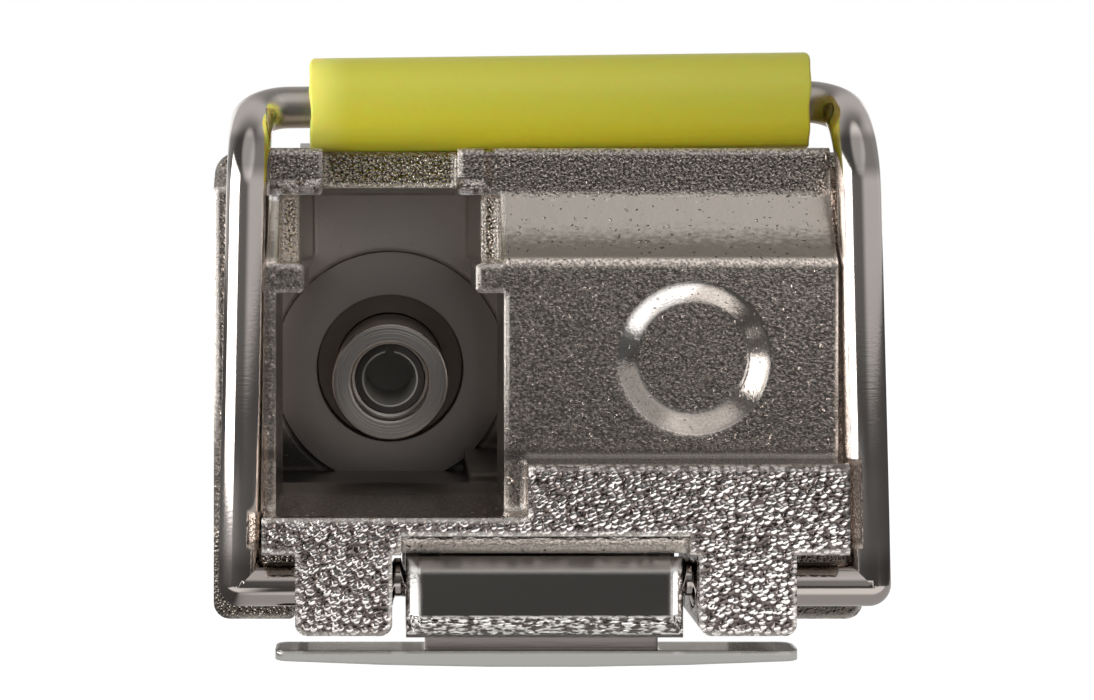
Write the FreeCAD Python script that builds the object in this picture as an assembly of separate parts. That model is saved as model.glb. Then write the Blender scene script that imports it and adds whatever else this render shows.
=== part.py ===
import FreeCAD, Part
import math
import os

# Single-port optical transceiver module with a bail latch, in millimetres.
# x runs across the module, y from the front to the rear edge, z up. While the pieces are made, y = 0 is
# the main face of the head, and x = z = 0 is the module's centre line at the height of the optical axis.

# Envelope that the cage sets
OVERALL_LENGTH = 56.5
NOSE_WIDTH = 13.7
NOSE_HEIGHT = 8.6
REAR_WIDTH = 13.4
REAR_HEIGHT = 8.5
NOSE_LENGTH = 28.5
STOP_DEPTH = 9.0
LATCH_DEPTH = 11.5
LATCH_DROP = 0.45
AXIS_ABOVE_BOTTOM = 3.4
BOTTOM_CHAMFER = 1.1
FLOOR_END_DEPTH = 46.1

# Head front: lower step, main face, cove and upper band
STEP_PROUD = 1.1
STEP_TOP = -1.16
HEAD_FLOOR = -3.0
FACE_TOP = 2.84
BAND_SETBACK = 0.8
COVE_TOP = 4.3
COVE_KNEE = 3.4
COVE_KNEE_SETBACK = 0.38
COVE_RADIUS = 2.0
RIM_RISE = 0.06
RIM_DEPTH = 0.4
CASTING_EDGE = 0.12
SCOOP_RADIUS = 0.4
SCOOP_WIDTH = 5.8

# Head behind the bail arms, corner skirts and ears
FLANGE_FRONT = 1.1
FLANGE_CORNER = 0.45
ARM_RELIEF_LOW = 4.4
ARM_RELIEF_DEPTH = 0.8
SKIRT_INNER = 5.13
SKIRT_LOW = -4.68
SKIRT_CORNER = 0.35
EAR_INNER = 3.08
EAR_OUTER = 5.03
EAR_LOW = -4.6
EAR_BACK = 1.9
EAR_CORNER = 0.25

# Connector port in the head
PORT_PITCH = 6.25
PORT_WIDTH = 4.7
PORT_HALF_HEIGHT = 2.24
SHOULDER_WIDTH = 3.54
WING_WIDTH = 4.65
CHANNEL_WIDTH = 3.9
WING_TOP = 4.27
NOTCH_WIDTH = 2.83
PORT_ROOF = 4.43
NOTCH_DEPTH = 1.75
PORT_WALL = 2.7
PORT_EDGE = 0.1
STEP_PORT_MARGIN = 0.43
PORT_FLOOR_END = 4.5
CAVITY_WIDTH = 6.0
CAVITY_FLOOR = -2.6
BULKHEAD_FRONT = 9.66
LAND_LENGTH = 3.3

# Blank half of the head
DISH_X = 3.12
DISH_Z = 0.88
DISH_RIM_DIAMETER = 3.11
DISH_FLOOR_DIAMETER = 2.35
DISH_DEPTH = 0.24
CORE_FRONT = 1.6
CORE_LEFT = 0.6
CORE_FLOOR = -1.5
CORE_ROOF = 4.4

# Trough and cover
SKIRT_WIDTH = 0.7
FLOOR_THICKNESS = 0.6
SPLIT_HEIGHT = 1.6
TONGUE_RISE = 0.8
TONGUE_THICKNESS = 0.35
COVER_THICKNESS = 0.3
COVER_CLEARANCE = 0.05
SNAP_LENGTH = 1.8
SNAP_HEIGHT = 0.45
SNAP_PROUD = 0.2
SNAP_FROM_LAND = 5.8
SNAP_FROM_NOSE_END = 6.6
SNAP_FROM_REAR = 5.4

# Finger collar round the nose
COLLAR_THICKNESS = 0.12
COLLAR_START = 0.15
COLLAR_BAND = 1.0
COLLAR_CLEARANCE = 0.05
FINGER_LENGTH = 2.0
FINGER_WIDTH = 1.3
FINGER_PITCH = 1.9
FINGER_BULGE = 0.5
FINGER_CREST_SHARE = 0.5
FINGER_CREST_LENGTH = 0.4
FINGER_GAP_FROM_EDGE = 1.0

# Bail
WIRE_DIAMETER = 0.9
PIVOT_Y = -0.1
PIVOT_Z = -3.73
BAIL_SIDE_PLAY = 0.25
ARM_GAP_LEFT = 0.05
ARM_GAP_RIGHT = 0.15
ARM_INSET = 0.4
ARM_KINK_Y = 0.45
ARM_KINK_Z = 5.35
CROSSBAR_Y = 2.0
CROSSBAR_Z = 6.28
BAIL_BEND = 0.75
PIVOT_BEND_SWELL = 0.01
KINK_BEND = 0.9
WIRE_RUNNING_CLEARANCE = 0.05
CAM_LENGTH = 0.7
CAM_WIDTH = 1.1
CAM_THICKNESS = 0.5
CAM_CORNER = 0.2
CAM_END_GAP = 0.1
SLEEVE_DIAMETER = 2.0
SLEEVE_END_GAP_LEFT = 0.55
SLEEVE_END_GAP_RIGHT = 0.05
SLEEVE_FIT = 0.01

# Latch lever
LEVER_PIVOT_Y = 4.0
LEVER_PIVOT_Z = -3.7
LEVER_SWING = 4.8
PIN_DIAMETER = 0.8
PIN_RUNNING_CLEARANCE = 0.03
PIN_FIT = 0.01
HUB_DIAMETER = 1.3
HUB_WIDTH = 3.6
HUB_SIDE_GAP = 0.15
LUG_WIDTH = 0.9
LUG_LENGTH = 1.9
LUG_BELOW_PIN = 0.35
TAB_WIDTH = 5.6
TAB_FRONT = -1.0
TAB_BACK = 1.5
TAB_TOP = -3.06
TAB_LOW = -4.7
TAB_BEVEL = 0.26
CAM_POCKET_FLOOR_GAP = 0.2
CAM_SWEEP_CLEARANCE = 0.03
STRIP_LEFT = -5.5
STRIP_RIGHT = 5.3
STRIP_DEPTH = 0.96
STRIP_TOP = -5.13
STRIP_END_THICKNESS = 0.2
STRIP_CROWN = 0.13
STRIP_CORNER = 0.25
WEB_WIDTH = 4.8
WEB_INSET = 0.12
ARM_WIDTH = 2.6
ARM_TOP = -3.42
ARM_THICKNESS = 0.5
TAIL_WIDTH = 1.7
TAIL_START = 7.0
TAIL_STEP = 0.5
TAIL_TOP = -2.9
TAIL_THICKNESS = 0.48
BOSS_LENGTH = 2.2
SLOT_SIDE_CLEARANCE = 0.1
SLOT_ROOF_CLEARANCE = 0.1
SLOT_END_CLEARANCE = 0.4
HUMP_WALL = 0.3
SPRING_THICKNESS = 0.12
SPRING_WIDTH = 1.3
SPRING_SEAT_LENGTH = 1.2
SPRING_TIP_Y = 8.3

# Optical receptacle and its sub-assembly
BARREL_DIAMETER = 2.7
BARREL_FRONT = 5.24
MOUTH_DIAMETER = 1.8
MOUTH_DEPTH = 0.9
BARREL_EDGE = 0.12
FERRULE_DIAMETER = 1.25
STUB_LENGTH = 2.06
STUB_EDGE = 0.15
SPLIT_SLEEVE_DIAMETER = 1.62
SPLIT_SLEEVE_LENGTH = 4.2
SPLIT_GAP = 0.2
OPTIC_FIT = 0.01
HOLDER_DIAMETER = 5.9
HOLDER_RECESS_DIAMETER = 3.7
HOLDER_RECESS_DEPTH = 0.7
HOLDER_FIT = 0.02
HOLDER_EDGE = 0.15
NECK_DIAMETER = 3.4
CLAMP_THICKNESS = 0.5
CLAMP_CLEARANCE = 0.05
CLAMP_RIGHT = 0.2
CLAMP_TOP = 3.6
CLAMP_RIGHT_FOOT = -1.5
HOUSING_DIAMETER = 4.8
HOUSING_LENGTH = 5.8
HOUSING_FLAT_X = -0.7
HOUSING_FLAT_WIDTH = 3.6
LASER_HEADER_DIAMETER = 5.2
LASER_HEADER_LENGTH = 1.2
DETECTOR_FROM_HOUSING_FRONT = 3.5
DETECTOR_CAP_DIAMETER = 3.7
DETECTOR_CAP_LENGTH = 2.2
DETECTOR_HEADER_DIAMETER = 4.4
DETECTOR_HEADER_LENGTH = 0.9
LEAD_DIAMETER = 0.45
LEAD_CIRCLE = 2.0
LEAD_LENGTH = 1.4
FLEX_THICKNESS = 0.12
FLEX_WIDTH = 3.4
FLEX_STANDOFF = 0.3
FLEX_BEND = 0.5
FLEX_LAP = 1.4
FLEX_TAIL_WIDTH = 1.8
FLEX_HOLE_CLEARANCE = 0.05

# Circuit board and what it carries
BOARD_TOP = -0.05
BOARD_THICKNESS = 1.0
BOARD_FRONT = 22.4
BOARD_WIDE = 11.4
BOARD_TONGUE = 9.2
BOARD_SHOULDER = 43.5
BOARD_END_FROM_LATCH = 41.8
BOARD_CORNER = 0.5
REST_STATIONS = (25.0, 40.0)
REST_LENGTH = 1.8
REST_REACH = 1.1
PAD_PITCH = 0.8
PAD_WIDTH = 0.55
PAD_LENGTH = 3.4
PAD_LENGTH_EARLY = 4.0
PAD_THICKNESS = 0.05
PAD_FROM_END = 0.3
PAD_COUNT = 10
CHIP_MARK_DIAMETER = 0.5
CHIP_MARK_DEPTH = 0.08
CHIP_MARK_INSET = 0.6
DRIVER_SIZE = (4.0, 4.0, 0.85)
DRIVER_PLACE = (-2.2, 28.0)
AMPLIFIER_SIZE = (3.0, 3.0, 0.85)
AMPLIFIER_PLACE = (2.6, 28.2)
CONTROLLER_SIZE = (5.0, 5.0, 0.9)
CONTROLLER_PLACE = (-1.6, 35.0)
MEMORY_SIZE = (2.0, 3.0, 0.75)
MEMORY_PLACE = (3.6, 35.0)
INDUCTOR_SIZE = (2.0, 2.5, 1.4)
INDUCTOR_BEVEL = 0.4
INDUCTOR_PLACES = ((-4.0, 40.6), (4.0, 40.6))
CHIP_CAPACITOR = (0.5, 1.0, 0.5)
CAPACITOR_ROWS = ((-4.9, 26.0), (4.9, 25.0), (4.9, 31.6))
CHIP_RESISTOR = (0.5, 1.0, 0.35)
RESISTOR_ROWS = ((-1.2, 39.4), (-1.2, 24.2))
SMALL_PITCH = 1.5
SMALL_COUNT = 3
END_CAP_SHARE = 0.25
END_CAP_PROUD = 0.03

# Planes and lines that several pieces share
FRONT = -STEP_PROUD
STOP_Y = FRONT + STOP_DEPTH
LATCH_Y = FRONT + LATCH_DEPTH
NOSE_END = FRONT + NOSE_LENGTH
FLOOR_END = FRONT + FLOOR_END_DEPTH
REAR_Y = FRONT + OVERALL_LENGTH
LAND_END = STOP_Y + LAND_LENGTH
NOSE_LOW = -AXIS_ABOVE_BOTTOM
NOSE_TOP = NOSE_LOW + NOSE_HEIGHT
REAR_LOW = NOSE_TOP - REAR_HEIGHT
TROUGH_FLOOR = NOSE_LOW + FLOOR_THICKNESS
PORT_X = -PORT_PITCH / 2
BOARD_LOW = BOARD_TOP - BOARD_THICKNESS
BOARD_END = LATCH_Y + BOARD_END_FROM_LATCH
WIRE_RADIUS = WIRE_DIAMETER / 2
ARM_HALF_SPAN = NOSE_WIDTH / 2 - ARM_INSET
ARM_LEFT = BAIL_SIDE_PLAY - ARM_HALF_SPAN
ARM_RIGHT = BAIL_SIDE_PLAY + ARM_HALF_SPAN
BLOCK_LEFT = ARM_LEFT + WIRE_RADIUS + ARM_GAP_LEFT
BLOCK_RIGHT = ARM_RIGHT - WIRE_RADIUS - ARM_GAP_RIGHT
TUBE_LEFT = ARM_LEFT + BAIL_BEND + SLEEVE_END_GAP_LEFT
TUBE_RIGHT = ARM_RIGHT - BAIL_BEND - SLEEVE_END_GAP_RIGHT
COLLAR_FRONT = STOP_Y + COLLAR_START
FINGER_FRONT = COLLAR_FRONT + COLLAR_BAND
COLLAR_REAR = FINGER_FRONT + FINGER_LENGTH
SLOT_END = LATCH_Y + BOSS_LENGTH + SLOT_END_CLEARANCE
SLOT_HALF = TAIL_WIDTH / 2 + SLOT_SIDE_CLEARANCE
SLEEVE_FRONT = BARREL_FRONT + MOUTH_DEPTH
SLEEVE_END = SLEEVE_FRONT + SPLIT_SLEEVE_LENGTH
BARREL_REAR = SLEEVE_END + STUB_LENGTH
HOUSING_FRONT = LAND_END + CLAMP_THICKNESS + CLAMP_CLEARANCE
HOUSING_REAR = HOUSING_FRONT + HOUSING_LENGTH
LAP = 0.1
OVERRUN = 1.0


def vec(x, y, z):
    return FreeCAD.Vector(x, y, z)


def slot_roof(y):
    """Roof of the lever's slot: it follows the lifted tail with a clearance."""
    return TAIL_TOP + (y - LEVER_PIVOT_Y) * math.tan(math.radians(LEVER_SWING)) + SLOT_ROOF_CLEARANCE


def box(x, y, z):
    """Box between the pairs of limits x, y and z."""
    return Part.makeBox(x[1] - x[0], y[1] - y[0], z[1] - z[0], vec(x[0], y[0], z[0]))


def rounded_edges(corners, closed):
    """Straight runs through (point, radius) corners, joined by tangent arcs where the radius isn't zero."""
    count = len(corners)
    turns = []
    for i, (here, radius) in enumerate(corners):
        if radius == 0 or (not closed and i in (0, count - 1)):
            turns.append((here, None, here))
            continue
        back = (corners[i - 1][0] - here).normalize()
        ahead = (corners[(i + 1) % count][0] - here).normalize()
        half = back.getAngle(ahead) / 2
        reach = radius / math.tan(half)
        inward = (back + ahead).normalize()
        middle = here + inward * (radius / math.sin(half) - radius)
        turns.append((here + back * reach, middle, here + ahead * reach))
    edges = []
    for i, (start, middle, end) in enumerate(turns):
        if middle is not None:
            edges.append(Part.Arc(start, middle, end).toShape())
        if closed or i < count - 1:
            following = turns[(i + 1) % count][0]
            if end.distanceToPoint(following) > 1e-6:
                edges.append(Part.LineSegment(end, following).toShape())
    return edges


def prism(corners, place, travel):
    """Solid from (u, v) or (u, v, radius) corners that place sets in space, pushed by travel."""
    rounded = [(place(c[0], c[1]), c[2] if len(c) > 2 else 0) for c in corners]
    return Part.Face(Part.Wire(rounded_edges(rounded, True))).extrude(travel)


def prism_x(corners, x0, x1):
    return prism(corners, lambda y, z: vec(x0, y, z), vec(x1 - x0, 0, 0))


def prism_y(corners, y0, y1):
    return prism(corners, lambda x, z: vec(x, y0, z), vec(0, y1 - y0, 0))


def prism_z(corners, z0, z1):
    return prism(corners, lambda x, y: vec(x, y, z0), vec(0, 0, z1 - z0))


def rod_x(radius, x0, x1, y, z):
    return Part.makeCylinder(radius, x1 - x0, vec(x0, y, z), vec(1, 0, 0))


def octagon(radius, u, v):
    """Corners of an eight-sided section of the given radius about (u, v)."""
    turns = [math.radians(45 * i + 22.5) for i in range(8)]
    return [(u + radius * math.cos(a), v + radius * math.sin(a)) for a in turns]


def rod_y(radius, y0, y1, x, z):
    return Part.makeCylinder(radius, y1 - y0, vec(x, y0, z), vec(0, 1, 0))


def lathe(profile, start, axis, across):
    """Turned solid: (radius, station) points spun about the line from start along axis."""
    points = [start + across * r + axis * s for r, s in profile]
    face = Part.Face(Part.makePolygon(points + points[:1]))
    return face.revolve(start, axis, 360)


def lathe_y(profile, x, z):
    return lathe(profile, vec(x, 0, z), vec(0, 1, 0), vec(1, 0, 0))


def lathe_x(profile, y, z):
    return lathe(profile, vec(0, y, z), vec(1, 0, 0), vec(0, 1, 0))


def mirrored(shape):
    """The same form on the other side of the centre line."""
    return shape.mirror(vec(0, 0, 0), vec(1, 0, 0))


def rectangle(x, z, radius=0):
    return [(x[0], z[0], radius), (x[1], z[0], radius), (x[1], z[1], radius), (x[0], z[1], radius)]


def nose_section(half, low, top, chamfer):
    """Outline of the module in the cage, with its two lower edges bevelled."""
    return [(half, top), (-half, top), (-half, low + chamfer), (-half + chamfer, low),
            (half - chamfer, low), (half, low + chamfer)]


def nose_outline():
    return nose_section(NOSE_WIDTH / 2, NOSE_LOW, NOSE_TOP, BOTTOM_CHAMFER)


def collar_seat():
    """Floor of the groove round the land, in which the collar lies flush."""
    t = COLLAR_THICKNESS
    bevel = BOTTOM_CHAMFER - t * (1 - math.tan(math.radians(22.5)))
    return nose_section(NOSE_WIDTH / 2 - t, NOSE_LOW + t, NOSE_TOP - t, bevel)


def trough_length(half, low, y0, y1):
    """One length of the trough: bevelled floor, two side walls and the tongues that centre the cover."""
    inner = half - SKIRT_WIDTH
    outside = prism_y(nose_section(half, low, SPLIT_HEIGHT, BOTTOM_CHAMFER), y0, y1)
    slope = SKIRT_WIDTH - FLOOR_THICKNESS
    inside = nose_section(inner, TROUGH_FLOOR, SPLIT_HEIGHT + OVERRUN, BOTTOM_CHAMFER - slope)
    trough = outside.cut(prism_y(inside, y0, y1))
    tongue = box((inner, inner + TONGUE_THICKNESS), (y0, y1),
                 (SPLIT_HEIGHT - LAP, SPLIT_HEIGHT + TONGUE_RISE))
    return trough.fuse([tongue, mirrored(tongue)])


def head_shell():
    """Outside of the head: stepped front block, wider flange, corner skirts, ears and pin lugs."""
    half = NOSE_WIDTH / 2
    rim = NOSE_TOP + RIM_RISE
    root = FLANGE_FRONT + ARM_RELIEF_DEPTH + LAP
    block = prism_x([
        (root, HEAD_FLOOR), (FRONT, HEAD_FLOOR, CASTING_EDGE), (FRONT, STEP_TOP, CASTING_EDGE),
        (0, STEP_TOP), (0, FACE_TOP, CASTING_EDGE), (COVE_KNEE_SETBACK, COVE_KNEE, COVE_RADIUS),
        (BAND_SETBACK, COVE_TOP, CASTING_EDGE), (BAND_SETBACK, rim, CASTING_EDGE),
        (BAND_SETBACK + RIM_DEPTH, rim), (BAND_SETBACK + RIM_DEPTH + RIM_RISE, NOSE_TOP), (root, NOSE_TOP)],
        BLOCK_LEFT, BLOCK_RIGHT)
    flange = prism_y(rectangle((-half, half), (HEAD_FLOOR, NOSE_TOP), FLANGE_CORNER), FLANGE_FRONT, STOP_Y)
    relief = prism_x([(FLANGE_FRONT, ARM_RELIEF_LOW), (FLANGE_FRONT + ARM_RELIEF_DEPTH, NOSE_TOP),
                      (FLANGE_FRONT, NOSE_TOP)], -half - OVERRUN, half + OVERRUN)
    skirt = prism_y([(SKIRT_INNER, HEAD_FLOOR + OVERRUN), (SKIRT_INNER, SKIRT_LOW, CASTING_EDGE),
                     (half, SKIRT_LOW, SKIRT_CORNER), (half, HEAD_FLOOR + OVERRUN)], FLANGE_FRONT, STOP_Y)
    ear = prism_y([(EAR_INNER, HEAD_FLOOR + OVERRUN), (EAR_INNER, EAR_LOW, EAR_CORNER),
                   (EAR_OUTER, EAR_LOW, EAR_CORNER), (EAR_OUTER, HEAD_FLOOR + OVERRUN)], FRONT, EAR_BACK)
    lug_inner = HUB_WIDTH / 2 + HUB_SIDE_GAP
    lug_round = LUG_BELOW_PIN + PIN_DIAMETER / 2
    lug = prism_x([(LEVER_PIVOT_Y - LUG_LENGTH / 2, HEAD_FLOOR + LAP),
                   (LEVER_PIVOT_Y - LUG_LENGTH / 2, LEVER_PIVOT_Z - lug_round, lug_round),
                   (LEVER_PIVOT_Y + LUG_LENGTH / 2, LEVER_PIVOT_Z - lug_round, lug_round),
                   (LEVER_PIVOT_Y + LUG_LENGTH / 2, HEAD_FLOOR + LAP)], lug_inner, lug_inner + LUG_WIDTH)
    land = prism_y(nose_outline(), STOP_Y, LAND_END)
    groove = COLLAR_FRONT - COLLAR_CLEARANCE, COLLAR_REAR + COLLAR_CLEARANCE
    land = land.cut(prism_y(nose_outline(), *groove).cut(prism_y(collar_seat(), *groove)))
    pairs = [skirt, ear, lug]
    return flange.cut(relief).fuse([block, land] + pairs + [mirrored(p) for p in pairs])


def port_cut():
    """Connector port: shouldered opening, shallow wings and latch notch, and a wider cavity behind."""
    half, shoulder = PORT_WIDTH / 2, SHOULDER_WIDTH / 2
    channel, wing, notch = CHANNEL_WIDTH / 2, WING_WIDTH / 2, NOTCH_WIDTH / 2
    right = [(half, -PORT_HALF_HEIGHT, 0), (half, PORT_HALF_HEIGHT, 0),
             (shoulder, PORT_HALF_HEIGHT, PORT_EDGE), (shoulder, FACE_TOP, PORT_EDGE),
             (channel, FACE_TOP, 0), (channel, WING_TOP, 0),
             (notch, WING_TOP, PORT_EDGE), (notch, PORT_ROOF, 0)]
    left = [(-u, v, r) for u, v, r in reversed(right)]
    mouth = prism_y([(PORT_X + u, v, r) for u, v, r in right + left], FRONT - OVERRUN, PORT_WALL)
    wings = box((PORT_X - wing, PORT_X + wing), (FRONT - OVERRUN, NOTCH_DEPTH), (FACE_TOP, WING_TOP))
    latch_notch = box((PORT_X - notch, PORT_X + notch), (FRONT - OVERRUN, NOTCH_DEPTH),
                      (WING_TOP, NOSE_TOP + OVERRUN))
    step_half = half + STEP_PORT_MARGIN
    step_pocket = prism_y([(PORT_X - step_half, -PORT_HALF_HEIGHT, PORT_EDGE),
                           (PORT_X + step_half, -PORT_HALF_HEIGHT, PORT_EDGE),
                           (PORT_X + step_half, STEP_TOP + OVERRUN),
                           (PORT_X - step_half, STEP_TOP + OVERRUN)], FRONT - OVERRUN, 0)
    wide = CAVITY_WIDTH / 2
    cavity = box((PORT_X - wide, PORT_X + wide), (PORT_WALL, BULKHEAD_FRONT), (-PORT_HALF_HEIGHT, FACE_TOP))
    cavity_low = box((PORT_X - wide, PORT_X + wide), (PORT_FLOOR_END, BULKHEAD_FRONT), (CAVITY_FLOOR, 0))
    upper = box((PORT_X - channel, PORT_X + channel), (PORT_WALL, BULKHEAD_FRONT), (0, PORT_ROOF))
    seat = rod_y(HOLDER_DIAMETER / 2 + HOLDER_FIT, BULKHEAD_FRONT, LAND_END, PORT_X, 0)
    return mouth.fuse([wings, latch_notch, step_pocket, cavity, cavity_low, upper, seat])


def main_casting():
    """Die-cast body: head, port, collar land, trough with board rests, and the slot for the latch lever."""
    half, rear_half = NOSE_WIDTH / 2, REAR_WIDTH / 2
    core = box((CORE_LEFT, half - SKIRT_WIDTH), (CORE_FRONT, LAND_END), (CORE_FLOOR, CORE_ROOF))
    scoop = rod_x(SCOOP_RADIUS, -SCOOP_WIDTH / 2, SCOOP_WIDTH / 2, FRONT, HEAD_FLOOR)
    dish = Part.makeCone(DISH_RIM_DIAMETER / 2, DISH_FLOOR_DIAMETER / 2, DISH_DEPTH, vec(DISH_X, 0, DISH_Z),
                         vec(0, 1, 0))
    body = head_shell().cut([port_cut(), core, scoop, dish])
    trough = trough_length(half, NOSE_LOW, LAND_END, NOSE_END)
    trough = trough.fuse(trough_length(rear_half, REAR_LOW, NOSE_END, REAR_Y))
    trough = trough.cut(box((-rear_half + SKIRT_WIDTH, rear_half - SKIRT_WIDTH), (FLOOR_END, REAR_Y),
                            (REAR_LOW, SPLIT_HEIGHT)))
    rests = []
    for y in REST_STATIONS:
        rest = box((BOARD_WIDE / 2 - REST_REACH, rear_half - SKIRT_WIDTH / 2), (y, y + REST_LENGTH),
                   (TROUGH_FLOOR - FLOOR_THICKNESS / 2, BOARD_LOW))
        rest = rest.common(prism_y(nose_section(rear_half, REAR_LOW, SPLIT_HEIGHT, BOTTOM_CHAMFER), y,
                                   y + REST_LENGTH))
        rests += [rest, mirrored(rest)]
    hump_start = TAIL_START - HUMP_WALL
    hump_end = SLOT_END + HUMP_WALL
    hump_half = SLOT_HALF + HUMP_WALL
    hump = prism_x([(hump_start, TROUGH_FLOOR - LAP), (hump_end, TROUGH_FLOOR - LAP),
                    (hump_end, slot_roof(hump_end) + HUMP_WALL),
                    (hump_start, slot_roof(hump_start) + HUMP_WALL)], -hump_half, hump_half)
    hump = hump.cut(rod_y(HOLDER_DIAMETER / 2 + HOLDER_FIT, BULKHEAD_FRONT, LAND_END, PORT_X, 0))
    slot = prism_x([(TAIL_START, SKIRT_LOW), (SLOT_END, SKIRT_LOW), (SLOT_END, slot_roof(SLOT_END)),
                    (TAIL_START, slot_roof(TAIL_START))], -SLOT_HALF, SLOT_HALF)
    wire_holes = rod_x(WIRE_RADIUS + WIRE_RUNNING_CLEARANCE, -EAR_OUTER, EAR_OUTER, PIVOT_Y, PIVOT_Z)
    lug_outer = HUB_WIDTH / 2 + HUB_SIDE_GAP + LUG_WIDTH
    pin_holes = rod_x(PIN_DIAMETER / 2 + PIN_FIT, -lug_outer, lug_outer, LEVER_PIVOT_Y, LEVER_PIVOT_Z)
    snaps = []
    for half_here, y in snap_places():
        snap = box((half_here - SKIRT_WIDTH + TONGUE_THICKNESS / 2,
                    half_here - SKIRT_WIDTH + TONGUE_THICKNESS + SNAP_PROUD),
                   (y, y + SNAP_LENGTH),
                   (SPLIT_HEIGHT + TONGUE_RISE - SNAP_HEIGHT, SPLIT_HEIGHT + TONGUE_RISE))
        snaps += [snap, mirrored(snap)]
    return body.fuse([trough, hump] + rests + snaps).cut([slot, wire_holes, pin_holes]).removeSplitter()


def snap_places():
    """Half width of the module and station of each snap along its sides."""
    return [(NOSE_WIDTH / 2, LAND_END + SNAP_FROM_LAND), (REAR_WIDTH / 2, NOSE_END + SNAP_FROM_NOSE_END),
            (REAR_WIDTH / 2, REAR_Y - SNAP_FROM_REAR)]


def cover_length(half, y0, y1):
    """One length of the folded cover: a top and two sides that stand on the trough's walls."""
    outside = prism_y(rectangle((-half, half), (SPLIT_HEIGHT, NOSE_TOP)), y0, y1)
    inner = half - COVER_THICKNESS
    return outside.cut(box((-inner, inner), (y0, y1), (SPLIT_HEIGHT, NOSE_TOP - COVER_THICKNESS)))


def top_cover():
    """Stamped cover with a window over each snap of the trough."""
    cover = cover_length(NOSE_WIDTH / 2, LAND_END, NOSE_END)
    cover = cover.fuse(cover_length(REAR_WIDTH / 2, NOSE_END, REAR_Y))
    windows = []
    for half, y in snap_places():
        window = box((half - COVER_THICKNESS, half),
                     (y - COVER_CLEARANCE, y + SNAP_LENGTH + COVER_CLEARANCE),
                     (SPLIT_HEIGHT + TONGUE_RISE - SNAP_HEIGHT - COVER_CLEARANCE,
                      SPLIT_HEIGHT + TONGUE_RISE + COVER_CLEARANCE))
        windows += [window, mirrored(window)]
    return cover.cut(windows).removeSplitter()


def collar_finger():
    """One spring finger along +y, folded outwards towards +z and back down to the land."""
    crest = FINGER_FRONT + FINGER_LENGTH * FINGER_CREST_SHARE
    half_crest = FINGER_CREST_LENGTH / 2
    line = [(FINGER_FRONT - COLLAR_CLEARANCE, 0), (FINGER_FRONT, 0), (crest - half_crest, FINGER_BULGE),
            (crest + half_crest, FINGER_BULGE), (COLLAR_REAR, 0)]
    raised = [(y, z + COLLAR_THICKNESS) for y, z in reversed(line)]
    return prism_x(line + raised, -FINGER_WIDTH / 2, FINGER_WIDTH / 2)


def finger_row(length, turn, middle):
    """Fingers spread over one side of the collar, turned about y and set with their feet at middle."""
    count = int((length - 2 * FINGER_GAP_FROM_EDGE - FINGER_WIDTH) / FINGER_PITCH) + 1
    row = []
    for i in range(count):
        finger = collar_finger().translated(vec((i - (count - 1) / 2) * FINGER_PITCH, 0, 0))
        finger.rotate(vec(0, 0, 0), vec(0, 1, 0), turn)
        row.append(finger.translated(middle))
    return row


def finger_collar():
    """Spring collar that bears on the cage: a thin band in the land's groove, with folded fingers behind."""
    seat_half = NOSE_WIDTH / 2 - COLLAR_THICKNESS
    seat_top, seat_low = NOSE_TOP - COLLAR_THICKNESS, NOSE_LOW + COLLAR_THICKNESS
    band = prism_y(nose_outline(), COLLAR_FRONT, FINGER_FRONT)
    band = band.cut(prism_y(collar_seat(), COLLAR_FRONT, FINGER_FRONT))
    side = NOSE_HEIGHT - BOTTOM_CHAMFER
    side_middle = NOSE_TOP - side / 2
    fingers = finger_row(NOSE_WIDTH, 0, vec(0, 0, seat_top))
    fingers += finger_row(side, 90, vec(seat_half, 0, side_middle))
    fingers += finger_row(side, -90, vec(-seat_half, 0, side_middle))
    fingers += finger_row(NOSE_WIDTH - 2 * BOTTOM_CHAMFER, 180, vec(0, 0, seat_low))
    latch_gap = SLOT_HALF + SLOT_SIDE_CLEARANCE
    middle_gap = box((-latch_gap, latch_gap), (STOP_Y, SLOT_END), (NOSE_LOW - OVERRUN, seat_low))
    return band.fuse(fingers).cut(middle_gap).removeSplitter()


def bail_wire():
    """Bent wire bail: crossbar, kinked arms, tight bends to the pivots in the ears, flattened cam ends."""
    neck = TAB_WIDTH / 2 + CAM_END_GAP
    side = [((PIVOT_Y, PIVOT_Z), 0), ((ARM_KINK_Y, ARM_KINK_Z), KINK_BEND),
            ((CROSSBAR_Y, CROSSBAR_Z), BAIL_BEND)]
    path = [(vec(ARM_LEFT, *place), bend) for place, bend in side]
    path += [(vec(ARM_RIGHT, *place), bend) for place, bend in reversed(side)]
    ring = Part.Wire(Part.makeCircle(WIRE_RADIUS, path[0][0], path[1][0] - path[0][0]))
    loop = Part.Wire(rounded_edges(path, False)).makePipeShell([ring], True, True)
    flat = rectangle((PIVOT_Y - CAM_WIDTH / 2, PIVOT_Y + CAM_WIDTH / 2),
                     (PIVOT_Z - CAM_THICKNESS / 2, PIVOT_Z + CAM_THICKNESS / 2), CAM_CORNER)
    cam = prism_x(flat, neck - CAM_LENGTH, neck)
    pivots = [rod_x(WIRE_RADIUS, ARM_LEFT, -neck, PIVOT_Y, PIVOT_Z),
              rod_x(WIRE_RADIUS, neck, ARM_RIGHT, PIVOT_Y, PIVOT_Z)]
    bends = [Part.makeSphere(WIRE_RADIUS + PIVOT_BEND_SWELL, vec(x, PIVOT_Y, PIVOT_Z))
             for x in (ARM_LEFT, ARM_RIGHT)]
    return loop.fuse(bends + pivots + [cam, mirrored(cam)]).removeSplitter()


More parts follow.
